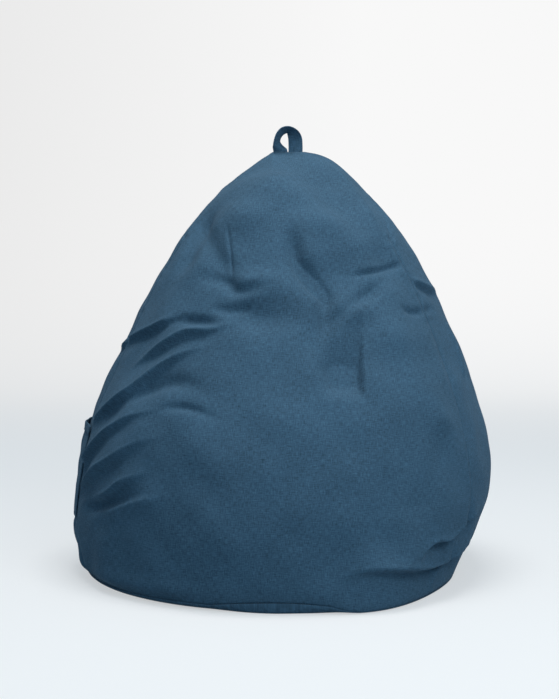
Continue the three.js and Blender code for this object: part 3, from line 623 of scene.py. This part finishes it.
def lacquered_zinc(name, color):
    """Cast metal under satin lacquer, with faint brushing and rubbed places."""
    s = Shader(bpy.data.materials.new(name))
    brushed = s.stretched(s.place(), 900, 900, 160)
    worn = s.noise(s.place(), 260, 3, 0.6)
    tint = s.ramp(worn, (0.35, scaled(color, 0.85)), (0.62, color), (0.75, scaled(color, 1.5)))
    rough = s.between(brushed, end=(0.28, 0.46))
    return s.finish(tint, rough, s.bump(brushed, 0.15, 0.0002), Metallic=0.85)


def moulded(name, color):
    """Moulded plastic with a fine grain."""
    s = Shader(bpy.data.materials.new(name))
    grain = s.noise(s.place(), 1400)
    tint = s.ramp(grain, (0.3, scaled(color, 0.9)), (0.7, scaled(color, 1.15)))
    return s.finish(tint, 0.42, s.bump(grain, 0.1, 0.0001))


def foam_beads(name, color, size=0.004):
    """Round foam beads packed together, with painted shade that darkens each bead towards its edge,
    where it meets the next.
    """
    s = Shader(bpy.data.materials.new(name))
    gap = s.add("TexVoronoi", {"Vector": s.place(), "Scale": 1 / size}, "Distance")
    # Painted shade: the colour darkens from the middle of each bead out to the gaps between beads.
    tint = s.ramp(gap, (0.2, color), (0.75, scaled(color, 0.6)))
    return s.finish(tint, 0.75, s.bump(s.math("SUBTRACT", 1.0, gap), 0.8, size / 2))


DENIM, LINER_WHITE = linear(58, 88, 110), linear(226, 224, 218)
CLOTH = denim("denim", DENIM)
BASE_CLOTH = denim("denim_base", scaled(DENIM, 0.92))
STRAP = denim("denim_strap", scaled(DENIM, 1.1), 0.0009)
THREAD = denim("sewing_thread", scaled(DENIM, 0.72), 0.0006, False, 0.5)
TAPE = denim("zip_tape_weave", linear(34, 56, 74), 0.0007, True, 0.4)
LINER = denim("liner_cloth", LINER_WHITE, 0.0008, True, 0.12)
LINER_FLAT = denim("liner_base_cloth", LINER_WHITE, 0.0008, False, 0.12)
LINER_TAPE = denim("liner_zip_tape", linear(214, 212, 206), 0.0007, False, 0.12)
BEADS = foam_beads("foam_beads", linear(240, 240, 238))
TOOTH_PLASTIC = moulded("zip_tooth_plastic", linear(44, 66, 86))
ZINC = lacquered_zinc("lacquered_zinc", linear(126, 130, 134))

# ---- Cover

LENS_MIDDLE, LENS_HALF = -0.012, 0.125  # where the front of the base seam is lifted
LENS_HEIGHT, TUCKED_HEIGHT, SEAM_FADE = 0.021, 0.0025, 0.07
TUCKED = (0.085, 0.15)  # where the seam goes down to the floor, right of the lens
CORNER_ROUND = 0.009  # how far the two ends of the top seam are turned in, as a share
PUCKER, PUCKER_REACH = 0.0011, 0.013
PINNED, PIN_REACH = 0.8, 0.012  # how much a seam holds folds down, and how far from it
BASE_REACH = 0.018  # how far up from the base seam folds are held down
SEAM_DEPTH, BASE_SEAM_DEPTH, TOP_SEAM_DEPTH, SEAM_REACH = 0.0034, 0.0022, 0.0013, 0.004
SEAM_LOW = {1: 0.4, 2: 0.3, 3: 1.0, 4: 1.0, 5: 1.0}  # how strong each seam is low down
DEEPEST, DEEPEST_LOW = 0.020, 0.0055  # how far in the cover may go, in general and at its base
DEEPEST_SHARE = 0.35  # and as a share of half the bag's depth
ZIP_CLEAR, ZIP_FADE = 0.022, 0.06
HEM_EDGE, HEM_RISE, HEM_STITCHES = 0.0062, 0.0005, 0.005  # the turned-in edge beside the zip
POCKET_MIDDLE = math.pi - np.radians(GORE_TURN - POCKET_TOWARDS_FRONT)


def lens_share(rim):
    """How far into the lens, the lifted front of the base seam, points of its ring lie."""
    return clamp01(1 - ((rim[..., 0] - LENS_MIDDLE) / LENS_HALF) ** 2) * (rim[..., 1] < 0)


def seam_shift(rim):
    """How far the base seam is above or below its ring, for points on that ring."""
    tucked = smooth((rim[..., 0] - TUCKED[0]) / (TUCKED[1] - TUCKED[0]))
    tucked = tucked * smooth((-rim[..., 1] - 0.02) / 0.15)
    lift = (LENS_HEIGHT - RINGS[0, 0]) * lens_share(rim)
    return lift + (TUCKED_HEIGHT - RINGS[0, 0] - lift) * tucked


def seam_dip(gap, depth):
    """The groove at a seam, for a distance from it."""
    return -depth * bell(gap / SEAM_REACH)


def puckers(seam, up, gap):
    """Small gathers along a seam, the same on both sides of it, for a height and a distance."""
    own = np.random.default_rng(seam)
    found = np.zeros_like(up)
    for _ in range(9):
        found += np.sin(2 * math.pi * up / own.uniform(0.016, 0.045) + own.uniform(0, 2 * math.pi))
    return PUCKER / 3 * found * bell(gap / PUCKER_REACH, 1.3) * (1 - np.exp(-gap / 0.003))


def under_pocket(stations, angle):
    low, high = POCKET_RINGS
    across = np.abs(angle - POCKET_MIDDLE) / np.radians(POCKET_HALF)
    return within(stations, low - 0.25, high + 0.3, 0.2, 0.25) * smooth((1.12 - across) / 0.1)


def in_zip_slot(station):
    low, high = ZIP_RINGS
    return within(station, low - 0.045, high + 0.045, 0.045, 0.045)


# The middle of the side panel or back that each upright seam lies by, and on which side of it.
SEAMS = {1: (math.pi, 1), 2: (0, -1), 3: (0, 1), 4: (math.pi, -1), 5: (math.pi / 2, 0)}
ZIP_SEAM = 5
HALF_SEAM = along_ring(FINE, 0.0, SEAM_GAP / 2)
HALF_CENTRE, HALF_SLOT = (along_ring(FINE, math.pi / 2, gap / 2) for gap in (SEAM_GAP, ZIP_SLOT))


def seam_angle(seam, station):
    """Where a seam runs. The side panels are turned to the front and narrow to a tip."""
    middle, side = SEAMS[seam]
    half = GORE_HALF - side * GORE_TURN + GORE_FOOT * clamp01(1 - station / BACK_STRAIGHT[0]) ** 2
    share = 1 - clamp01((station - GORE_NARROWS) / (GORE_TIP - GORE_NARROWS)) ** GORE_POINT
    return middle + side * np.where(station <= GORE_TOP + 1e-6, np.radians(half) * share, 0)


def seam_half(seam, station):
    """The angle from the middle of a seam to the cloth beside it."""
    if seam != ZIP_SEAM:
        return np.interp(station, FINE, HALF_SEAM)
    plain, slot = (np.interp(station, FINE, half) for half in (HALF_CENTRE, HALF_SLOT))
    return plain + (slot - plain) * in_zip_slot(station)


def cover_panel(name, node, seams, columns, rows, top):
    """The panel between two seams, from the base up to the station `top`."""
    station = even_stations(rows, 0, top)
    low, high = (seam_angle(seam, station) for seam in seams)
    low = low + seam_half(seams[0], station) - 2 * math.pi * (low[0] > high[0])
    high = high - seam_half(seams[1], station)
    angle = low[:, None] + (high - low)[:, None] * np.linspace(0, 1, columns + 1)
    stations = np.broadcast_to(station[:, None], angle.shape)
    flat = on_bag(stations, angle)
    normals = grid_normals(flat)
    across, up = lengths(flat, 1), lengths(flat, 0)
    left, right, base, head = across, across[:, -1:] - across, up, up[-1:] - up
    x, z = flat[..., 0], flat[..., 2]

    # the folds, held down by the pocket, the seams and the zip
    field = folds_at(flat)
    field -= under_pocket(stations, angle) * (np.maximum(field, 0) + 0.001)
    field *= 1 - PINNED * bell(np.minimum(left, right) / PIN_REACH)
    field *= 1 - bell(base / BASE_REACH)
    field *= 1 - bell(np.sin(angle) / 0.25) * smooth((stations - 6.6) / 0.9)
    if ZIP_SEAM in seams:
        clear = smooth((np.abs(x) - ZIP_CLEAR) / ZIP_FADE)
        beside = within(stations, ZIP_RINGS[0] - 0.5, ZIP_RINGS[1] + 0.5, 0.4, 0.4)
        field *= 1 - beside * (1 - clear)
    # the seams, each with its puckers, and the hems beside the zip
    for seam, gap, nearest in zip(seams, (left, right), (left < right, left >= right)):
        slot = in_zip_slot(stations) * (seam == ZIP_SEAM)
        strong = SEAM_LOW[seam] + (1 - SEAM_LOW[seam]) * smooth((stations - 3.6) / 1.6)
        strong = strong * smooth((GORE_TOP - 0.1 - stations) / 0.7) * nearest
        field += (1 - slot) * strong * (seam_dip(gap, SEAM_DEPTH) + puckers(seam, up, gap))
        hem = HEM_RISE * smooth((HEM_EDGE - gap) / 0.0012) * smooth(gap / 0.0008)
        field += slot * (hem - 0.0006 * bell((gap - HEM_STITCHES) / 0.0012))
    # flat under the loop's feet, and no deeper than what lies inside allows
    under_loop = bell((x - LOOP_MIDDLE) / 0.07) * smooth((z - 0.81) / 0.04)
    field -= under_loop * (1 - bell(head / 0.006)) * (np.maximum(field, 0) + 0.0015)
    beside_loop = smooth((np.abs(x - LOOP_MIDDLE) - LOOP_FLAT - 0.002) / 0.012)
    field += seam_dip(base, BASE_SEAM_DEPTH) + seam_dip(head, TOP_SEAM_DEPTH) * beside_loop
    deepest = DEEPEST_LOW + (DEEPEST - DEEPEST_LOW) * smooth((z - 0.02) / 0.03)
    depth = on_bag(stations, math.pi / 2)[..., 1] - on_bag(stations, 0.0)[..., 1]
    field = np.maximum(field, -np.minimum(deepest, DEEPEST_SHARE * depth))

    outer = flat + normals * field[..., None]
    outer[..., 0] *= 1 - CORNER_ROUND * bell((TOP - stations) / 0.3) * bell(np.sin(angle) / 0.1)
    shift = seam_shift(flat[0]) * np.maximum(1 - base / SEAM_FADE, 0) ** 2
    shift = shift[..., None] * np.array([0, 0, 1])
    thickness = np.minimum(field - low_around(field) + COVER_CLOTH, np.maximum(0.5 * depth, 0.0016))
    edge = np.min([left, right, base, head], axis=0) < 1e-6
    thickness = np.where(edge, COVER_CLOTH, thickness)
    normals = grid_normals(flat + shift)
    look = (thickness, cloth_map(across, up), CLOTH, "cover_cloth")
    made = cloth_piece(name, outer + shift, normals, *look, node)


cover_panel("front_cover", "front_panel", (1, 2), 320, 272, TOP)
cover_panel("right_gore_cover", "right_side_panel", (2, 3), 100, 232, GORE_TOP)
cover_panel("left_gore_cover", "left_side_panel", (4, 1), 100, 232, GORE_TOP)
cover_panel("back_cover_right", "back_panel_right", (3, 5), 132, 248, TOP)
cover_panel("back_cover_left", "back_panel_left", (5, 4), 132, 248, TOP)

# ---- Base

BASE_FLAT, BASE_FLAT_LENS = 0.93, 0.985  # how far out the base lies flat, and so in the lens
BASE_SET_IN = 0.003  # how far the base's edge lies inside the cover's, as a share


def base_cover(count=384, flat_rings=26, rim_rings=8):
    """The base: flat on the floor, with a quarter-round rim up to the base seam. The rim is short
    in the lens, where the front shows it, and long elsewhere."""
    ring = on_bag(0.0, around(count))
    middle = np.array([0, (ring[:, 1].max() + ring[:, 1].min()) / 2, 0])
    rim = RINGS[0, 0] + seam_shift(ring) - SEAM_GAP
    flat = BASE_FLAT + (BASE_FLAT_LENS - BASE_FLAT) * lens_share(ring)
    turn = np.linspace(0, math.pi / 2, rim_rings + 1)[1:, None]
    rounded = (flat + (1 - flat) * np.sin(turn)) * (1 - BASE_SET_IN * turn / turn[-1])
    share = np.concatenate([flat * np.linspace(0.06, 1, flat_rings)[:, None], rounded])
    height = np.concatenate([np.zeros((flat_rings, 1)), 1 - np.cos(turn)])
    outer = middle + (ring * [1, 1, 0] - middle) * share[..., None]
    swell = np.sin(71 * outer[..., 0] + 9 * share) * np.cos(63 * outer[..., 1])
    outer[..., 2] = rim * height + 0.0004 * clamp01(swell) * (share < 0.9)
    normals = grid_normals(np.concatenate([outer, outer[:, :1]], axis=1))[:, :-1]
    normals[:flat_rings] = (0, 0, -1)
    inner = outer - normals * COVER_CLOTH
    centres = [middle, middle + (0, 0, COVER_CLOTH)]
    vertices = np.concatenate([outer.reshape(-1, 3), inner.reshape(-1, 3), centres])
    rows = len(outer)
    size, end = rows * count, (rows - 1) * count
    faces = band(rows, count, 0, (1, 2, 3, 0)) + band(rows, count, size, (0, 3, 2, 1))
    faces += fan(2 * size, 0, count, -1) + fan(2 * size + 1, size, count)
    edge = [end + i % count for i in range(count + 1)]
    faces += [[b, size + b, size + a, a] for a, b in zip(edge, edge[1:])]
    uv = vertices[:, :2]
    made = piece("base_cover", vertices, faces, BASE_CLOTH, uv, "base_panel")


base_cover()

# ---- Stitches


def stitches(name, line, outward, body="root", pitch=0.0036, length=0.0025, radius=0.00032):
    """A row of stitches along a line: short threads, each half sunk where it enters the cloth."""
    far = lengths(line)
    sides, sections = 6, 5
    along_thread = np.linspace(0, 1, sections)
    bow = np.sin(math.pi * along_thread)[:, None]
    turn = around(sides)[:, None]
    vertices, faces = [], []

    def at(values, where):
        return np.stack([np.interp(where, far, values[:, k]) for k in range(3)], -1)

    for begin in np.arange(pitch / 2, far[-1] - length, pitch):
        middle = at(line, begin + length * along_thread)
        out = unit(at(outward, begin + length / 2))
        across = np.cross(unit(middle[-1] - middle[0]), out)
        round_it = np.cos(turn) * across + np.sin(turn) * out
        thick = radius * (0.45 + 0.55 * bow)[..., None]
        points = (middle + out * radius * (1.3 * bow - 0.7))[:, None] + thick * round_it
        first = len(vertices)
        vertices.extend(points.reshape(-1, 3))
        last = len(vertices)
        faces += band(sections, sides, first)
        faces += [list(range(first, first + sides))[::-1], list(range(last - sides, last))]
    piece(name, vertices, faces, THREAD, body=body)


# ---- Pocket

POCKET_STANDS, POCKET_LAY, POCKET_HEM = 0.0042, 0.0006, 0.022
POCKET_CLOTH, POCKET_FULLNESS = 0.002, 1.2
POCKET_STITCHED = 0.004  # how far in from its edges the pocket is sewn down


def pocket(rows=84, columns=84):
    station = even_stations(rows, *POCKET_RINGS)[:, None]
    share = np.linspace(-1, 1, columns + 1)
    flat = on_bag(station, POCKET_MIDDLE + np.radians(POCKET_HALF) * share)
    normals = grid_normals(flat)
    across, up = lengths(flat, 1), lengths(flat, 0)
    head = up[-1:] - up
    edge = np.min([across, across[:, -1:] - across, up], axis=0)
    rise = np.linspace(0, 1, rows + 1)[:, None]
    out = POCKET_STANDS * (clamp01(1 - share**2) * np.sin(rise * math.pi / 2)) ** POCKET_FULLNESS
    out = out + 0.9 * lumps(flat, 1.9) * smooth(edge / 0.03) * rise
    # the hem, its stitches and its edge, and the stitches along the other edges
    out += 0.0014 * smooth((POCKET_HEM - head) / 0.0015)
    out -= 0.0012 * bell((head - POCKET_HEM) / 0.0016)
    out -= 0.0009 * bell((edge - POCKET_STITCHED) / 0.0014) * (head > POCKET_STITCHED)
    out -= 0.0012 * bell(head / 0.0012)
    outer = flat + normals * (POCKET_LAY + POCKET_CLOTH + np.maximum(out, -0.001))[..., None]
    look = (POCKET_CLOTH * 0.9, cloth_map(across, up), CLOTH, "cover_cloth")
    made = cloth_piece("pocket", outer, grid_normals(outer), *look, "side_pocket")
    hem_row = int(round(rows * (1 - (POCKET_HEM - 0.003) / float(up[-1].mean()))))
    upright, level = slice(rows - 3), slice(2, -2)
    sewn = {"hem": hem_row, "front": (upright, -2), "back": (upright, 1), "foot": (2, level)}
    for word, row in sewn.items():
        stitches(f"pocket_{word}_stitches", outer[row], normals[row])


# ---- Carry loop

LOOP_FOOT = np.array([LOOP_MIDDLE, 0.049989, 0.8748])
# right, back, up, turn and tip of the strap's middle along its course, as in the CAD part
LOOP_COURSE = [
    (1, 0, 0, 0, 0), (1, 0.09, 0.28, 4, 0), (0.92, 0.25, 0.58, 14, 4), (0.62, 0.25, 0.80, 40, 15),
    (0.05, 0.06, 0.92, 78, 26), (-0.66, -0.06, 0.87, 100, 26), (-1.20, -0.06, 0.68, 110, 15),
    (-1.44, -0.06, 0.43, 116, 5), (-1.30, -0.08, 0.22, 138, 0), (-1.08, -0.06, 0.1, 168, 0),
    (-1, 0, 0, 180, 0),
]
STRAP_EDGE = 0.0009  # the radius of the strap's rounded edges
STRAP_STITCHES = 0.0035  # how far in from its edges the strap is sewn


def centripetal(points, count):
    """Catmull-Rom with centripetal steps, evenly spaced by the length of its first three parts."""
    p = with_ends(points)
    fine = []
    for i in range(1, len(p) - 2):
        a, b, c, d = p[i - 1 : i + 3]
        steps = [max(np.linalg.norm(step[:3]), 1e-9) ** 0.5 for step in (b - a, c - b, d - c)]
        t1, t2, t3 = np.cumsum(steps)
        t = np.linspace(t1, t2, 40, endpoint=i == len(p) - 3)[:, None]

        def between(first, second, low, high):
            return ((high - t) * first + (t - low) * second) / (high - low)

        ab, bc, cd = between(a, b, 0, t1), between(b, c, t1, t2), between(c, d, t2, t3)
        fine.append(between(between(ab, bc, 0, t2), between(bc, cd, t1, t3), t1, t2))
    fine = np.concatenate(fine)
    far = lengths(fine[:, :3])
    at = np.linspace(0, far[-1], count)
    return np.stack([np.interp(at, far, values) for values in fine.T], -1)


def carry_loop(steps=120, across_count=32):
    leg, half = (STRAP_WIDTH + STRAP_APART) / 2, STRAP_WIDTH / 2
    nodes = []
    for right, back, up, turn, tip in LOOP_COURSE:
        a, b = math.radians(turn), math.radians(tip)
        way = (math.cos(a) * math.cos(b), -math.sin(a) * math.cos(b), math.sin(b))
        nodes.append((right * leg, back * leg, up * LOOP_HEIGHT - 0.001, *way))
    middle, width = np.split(centripetal(nodes, steps + 1), 2, axis=1)
    width = unit(width)
    face = unit(np.cross(width, np.gradient(middle, axis=0)))
    far = lengths(middle)
    # once round the strap: along one face, and back along the other
    turn = around(2 * across_count)
    side = np.sign(np.sin(turn) + 1e-12)
    x = np.sign(np.cos(turn)) * np.abs(np.cos(turn)) ** 0.55
    edge = half * (1 - np.abs(x))
    thick = STRAP_CLOTH / 2 * np.sqrt(clamp01(1 - np.maximum(0, 1 - edge / STRAP_EDGE) ** 2))
    groove = 0.00028 * bell((edge - STRAP_STITCHES) / 0.0009)
    groove += 0.00018 * bell((edge - 0.0115) / 0.0016)
    section = np.stack([x * half, side * np.maximum(thick - groove, 0.0002)], -1)
    wander = 0.0002 * np.sin(far * 95 + 1)[:, None] * np.sin(turn * 2)
    points = LOOP_FOOT + middle[:, None] + width[:, None] * section[:, :1]
    points += face[:, None] * (section[:, 1:] + wander[..., None])
    count = len(turn)
    faces = band(steps + 1, count, 0, (0, 3, 2, 1))
    for k in range(count // 2):
        loop = list(dict.fromkeys([k, (count - k) % count, count - k - 1, k + 1]))
        if len(loop) > 2:
            faces += [loop[::-1], [steps * count + q for q in loop]]
    across, up = np.broadcast_arrays(section[:, 0] + 0.1 * side, far[:, None])
    uv = np.stack([across, up], -1).reshape(-1, 2)
    points = points.reshape(-1, 3)
    piece("carry_strap", points, faces, STRAP, uv, "carry_loop", "carry_loop")
    keep = slice(2, steps - 1)
    for letter, place, way in (("a", 1, 1), ("b", -1, 1), ("c", 1, -1), ("d", -1, -1)):
        line = LOOP_FOOT + middle + width * place * (half - STRAP_STITCHES)
        line += face * way * (STRAP_CLOTH / 2 - 0.0002)
        sizes = (0.0032, 0.0022, 0.00026)
        stitches(f"loop_stitches_{letter}", line[keep], face[keep] * way, "carry_loop", *sizes)


# ---- Cover zip

ZIP_FOOT, ZIP_OUT = np.array([(0, 0.349278, 0.336715), (0, 0.905673, 0.423977)])
ZIP_AXES = np.array([(1, 0, 0), ZIP_OUT, (0, -ZIP_OUT[2], ZIP_OUT[1])])
TAPE_BACK, TAPE_FACE = -0.0040, -0.0033
TAPE_EDGES, TAPE_ENDS = (0.002, 0.016), (-0.008, 0.412)
TOOTH_PITCH, TOOTH_THICK = 0.006, 0.00265
TOOTH_HALF, TOOTH_OFF = (0.0024, 0.0014, TOOTH_THICK / 2), 0.0014
TEETH_SPAN = (0.0058, 0.3935)


def on_zip(x, y, z):
    """Points right of the zip's foot, out from it and up it."""
    return ZIP_FOOT + np.stack(np.broadcast_arrays(x, y, z), -1) @ ZIP_AXES


def zip_tape(side, name, node):
    """One tape of the zip: woven, with ribs along it."""
    rows, columns = 140, 12
    edges = np.linspace(*TAPE_EDGES, columns + 1)[::side]
    z, x = np.meshgrid(np.linspace(*TAPE_ENDS, rows + 1), edges, indexing="ij")
    ribs = 0.000072 * np.cos(2 * math.pi * (x - TAPE_EDGES[0]) / 0.0035)
    outer = on_zip(side * x, TAPE_FACE + ribs + 0.00008 * np.sin(z * 310), z)
    look = (TAPE_FACE - TAPE_BACK, np.stack([side * x, z], -1), TAPE, "zip_tape")
    cloth_piece(name, outer, ZIP_OUT, *look, node)


def blob(half, power, rings=7, sides=12):
    """A rounded block: a superellipsoid, as points and faces."""
    v = (math.pi * np.arange(1, rings) / rings - math.pi / 2)[:, None]
    u, out = around(sides), np.cos(v)
    rows = np.stack(np.broadcast_arrays(out * np.cos(u), np.sin(v), out * np.sin(u)), -1)
    flat = np.concatenate([[(0, -1, 0)], rows.reshape(-1, 3), [(0, 1, 0)]])
    shaped = np.sign(flat) * np.abs(flat) ** power
    shaped /= np.abs(shaped).max(axis=0)
    last = len(flat) - 1
    caps = fan(0, 1, sides) + fan(last, last - sides, sides, -1)
    return shaped * half, band(rings - 1, sides, 1, (3, 2, 1, 0)) + caps


def teeth(side, name):
    """A row of the zip's teeth, half a pitch from the other row."""
    shape, shape_faces = blob(TOOTH_HALF, 0.55)
    # a broad head at the middle of the zip, and a neck between it and the tape
    shape[:, 2] *= 1 - 0.28 * bell((shape[:, 0] - 0.0006) / 0.0011)
    vertices, faces = [], []
    start = TEETH_SPAN[0] + TOOTH_THICK / 2 + (0 if side > 0 else TOOTH_PITCH / 2)
    for middle in np.arange(start, TEETH_SPAN[1] - TOOTH_THICK / 2, TOOTH_PITCH):
        first = len(vertices)
        x = side * (TOOTH_OFF + shape[:, 0])
        vertices.extend(on_zip(x, shape[:, 1] - 0.0036, middle + shape[:, 2]))
        faces += [[first + i for i in face[::side]] for face in shape_faces]
    piece(name, vertices, faces, TOOTH_PLASTIC)


def slot_stitches(side, name):
    station = np.linspace(ZIP_RINGS[0] + 0.02, ZIP_RINGS[1] - 0.02, 160)
    turn = np.interp(station, FINE, HALF_SLOT) * (1 + HEM_STITCHES / (ZIP_SLOT / 2))
    line = on_bag(station, math.pi / 2 - side * turn)
    stitches(name, line, np.broadcast_to(ZIP_OUT, line.shape))


# ---- Strap ends in the top seam


def strap_end(word):
    """The end of the strap between the two panels, up to the foot of the loop."""
    node = f"loop_sewn_end_{word}"
    low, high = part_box(node)
    upright = np.linspace(low[2], LOOP_FOOT[2] - 0.0009, 17)
    x, z = np.meshgrid(np.linspace(low[0], high[0], 17), upright)
    face = low[1] + 0.0001 * np.sin((x - low[0]) * 900) ** 2
    outer = np.stack([x, face, z], -1)
    look = (high[1] - face, np.stack([x, z], -1), STRAP, "strap")
    cloth_piece(f"strap_end_{word}", outer, np.array([0, -1, 0]), *look, node)


strap_end("left")
strap_end("right")

# ---- Inner bag and beads

LINER_IN, LINER_CLOTH, BEADS_IN = 0.026, 0.001, 0.0285
LINER_FOOT, LINER_SHUTS, LINER_TOP, BEADS_TOP = 0.12, 6.6, 7.5, 7.3


def inner_ring(stations, angle, inset):
    """Rings inside the cover, which close to a ridge at the top."""
    found = on_bag(stations, angle)
    middle = on_bag(stations, 0.0)[..., 1]
    half = np.abs(on_bag(stations, math.pi / 2)[..., 1] - middle)
    inset = inset * (1 + smooth((stations - 3.5) / 2.5))  # the upper rings lie aslant
    shut = 1 - smooth((stations - LINER_SHUTS) / (LINER_TOP - LINER_SHUTS)) * 0.985
    found[..., 1] = middle + (found[..., 1] - middle) * np.maximum(1 - inset / half, 0.01) * shut
    found[..., 0] -= inset * np.sign(found[..., 0]) * np.minimum(np.abs(found[..., 0]) / 0.05, 1)
    return found


def liner_half(name, node, low, high):
    stations = even_stations(120, LINER_FOOT, LINER_TOP)[:, None]
    flat = inner_ring(stations, np.linspace(low, high, 145), LINER_IN)
    creased = np.minimum(0.8 * lumps(flat, 1.7), 0.0012) * smooth((LINER_TOP - stations) / 0.5)
    normals = grid_normals(flat)
    look = (LINER_CLOTH, np.stack([lengths(flat, 1), lengths(flat, 0)], -1), LINER, "liner_cloth")
    made = cloth_piece(name, flat + normals * creased[..., None], normals, *look, node)


def beads(count=144):
    rows = inner_ring(even_stations(96, LINER_FOOT, BEADS_TOP)[:, None], around(count), BEADS_IN)
    vertices = np.concatenate([rows.reshape(-1, 3), [rows[0].mean(0), rows[-1].mean(0)]])
    foot, top = len(vertices) - 2, len(vertices) - 1
    faces = band(len(rows), count) + fan(foot, 0, count, -1) + fan(top, foot - count, count)
    made = piece("beads", vertices, faces, BEADS, None, "bead_filling")


liner_half("liner_front_cloth", "liner_front", -math.pi, -1e-4)
liner_half("liner_back_cloth", "liner_back", 1e-4, math.pi)
beads()
pocket()
carry_loop()
for way, word in ((1, "right"), (-1, "left")):
    zip_tape(way, f"zip_tape_cloth_{word}", f"zip_tape_{word}")
    teeth(way, f"zip_teeth_{word}")
    slot_stitches(way, f"slot_stitches_{word}")

# ---- Finishes of the CAD nodes that stay


def dress(material, *names):
    for name in names:
        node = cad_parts[name]
        if not node.material_slots:
            node.data.materials.append(material)
        for place in node.material_slots:
            place.material = material


dress(LINER_FLAT, "liner_base")
dress(LINER_TAPE, "liner_zip_tape_left", "liner_zip_tape_right")
for zip_name in ("zip", "liner_zip"):
    for part in ("slider", "top_stop_left", "top_stop_right", "bottom_stop"):
        dress(ZINC, f"{zip_name}_{part}")
dress(ZINC, "zip_pull")

# ---- Camera, floor and light

scene = bpy.context.scene
lens = bpy.data.cameras.new("camera")
lens.sensor_fit, lens.sensor_height, lens.lens = "VERTICAL", 36, 85
camera = bpy.data.objects.new("camera", lens)
camera.location = (-0.006, -3.47, 0.76)
camera.rotation_euler = (math.radians(85), 0, 0)
scene.collection.objects.link(camera)
scene.camera = camera


def area_light(name, place, aim, size, power, color):
    data = bpy.data.lights.new(name, "AREA")
    data.shape, data.energy, data.color = "RECTANGLE", power, color
    data.size, data.size_y = size
    lamp = bpy.data.objects.new(name, data)
    lamp.location = place
    lamp.rotation_euler = (Vector(aim) - Vector(place)).to_track_quat("-Z", "Y").to_euler()
    scene.collection.objects.link(lamp)


area_light("key_light", (0.0, -0.35, 3.1), (0, -0.2, 0.45), (1.6, 1.0), 51, (1.0, 0.955, 0.91))
area_light("fill_light", (1.8, -3.2, 2.2), (0, 0, 0.35), (2.6, 1.4), 63, (0.94, 0.98, 1.0))

# The third colour is painted shade: the darker grey that the wall, seen directly, takes at its
# left.
FLOOR, WALL, WALL_LEFT_PAINTED_SHADE = linear(240, 243, 245), linear(248, 248, 248), linear(234, 234, 234)
PAPER = (0.27, 0.36, 0.41)
WALL_STARTS, WALL_FULL = 1.2, 4.5
FLOOR_AT = -0.0006  # just under the base, so that the two don't lie in one plane
SHADOWED = 0.42  # the share of the floor's brightness that shadows can take away
HORIZON, ABOVE, OVERHEAD = (0.08, 0.13, 0.17), (0.17, 0.26, 0.33), (0.46, 0.62, 0.74)


def studio():
    """Light from all round: brighter overhead than at the horizon, as under a large ceiling light.
    Seen directly it is as pale as the wall."""
    s = Shader(bpy.data.worlds.new("studio"))
    height = s.axis(s.add("TexCoord", output="Generated"), 2)
    sky = s.ramp(height, (0.0, HORIZON), (0.35, ABOVE), (1.0, OVERHEAD))
    light = s.add("Background", {0: sky, 1: 0.8})
    pale = s.add("Background", {0: (*WALL, 1), 1: 0.94})
    return s.show(s.mix(s.add("LightPath", output="Is Camera Ray"), light, pale), "World")


def backdrop():
    """A pale floor that sweeps up into a wall. Seen directly it is near white, with painted shade
    that darkens the wall towards its left, and its own colour, which lights the object, is a light
    grey."""
    profile = [(y, FLOOR_AT) for y in (-8, -3, 0, 3)]
    bend = np.linspace(0.1, math.pi / 2, 14)
    profile += [(3 + 2 * math.sin(t), 2 - 2 * math.cos(t)) for t in bend] + [(5, 6)]
    vertices = [(x, y, z) for y, z in profile for x in (-7, 7)]
    faces = [[2 * i, 2 * i + 1, 2 * i + 3, 2 * i + 2] for i in range(len(profile) - 1)]
    s = Shader(bpy.data.materials.new("studio_paper"))
    place = s.place()
    grain = s.ramp(s.noise(place, 3), (0.3, scaled(PAPER, 0.99)), (0.7, PAPER))
    paper = s.add("BsdfPrincipled", {"Base Color": grain, "Roughness": 0.9})
    # Painted shade: the wall seen directly darkens towards the left, as if less light fell there.
    wall_painted_shade = s.ramp(s.between(s.axis(place, 0), (-1.5, 0.4)), (0.0, WALL_LEFT_PAINTED_SHADE), (1.0, WALL))
    glow = s.add("Emission", {"Color": (*FLOOR, 1), "Strength": 1 - SHADOWED})
    matt = s.add("BsdfDiffuse", {"Color": (*scaled(FLOOR, SHADOWED), 1)})
    floor = s.add("AddShader", {0: glow, 1: matt})
    wall = s.add("Emission", {"Color": wall_painted_shade, "Strength": 1.0})
    steps = {"interpolation_type": "SMOOTHSTEP"}
    is_wall = s.between(s.axis(place, 1), (WALL_STARTS, WALL_FULL), **steps)
    kinds = ("Camera", "Glossy", "Transmission")
    rays = [s.add("LightPath", output=f"Is {kind} Ray") for kind in kinds]
    seen = s.math("MAXIMUM", s.math("MAXIMUM", *rays[:2]), rays[2])
    material = s.show(s.mix(seen, paper, s.mix(is_wall, floor, wall)))
    new_object("studio_floor", vertices, faces, material)


scene.world = studio()
backdrop()
scene.view_settings.view_transform = "Standard"
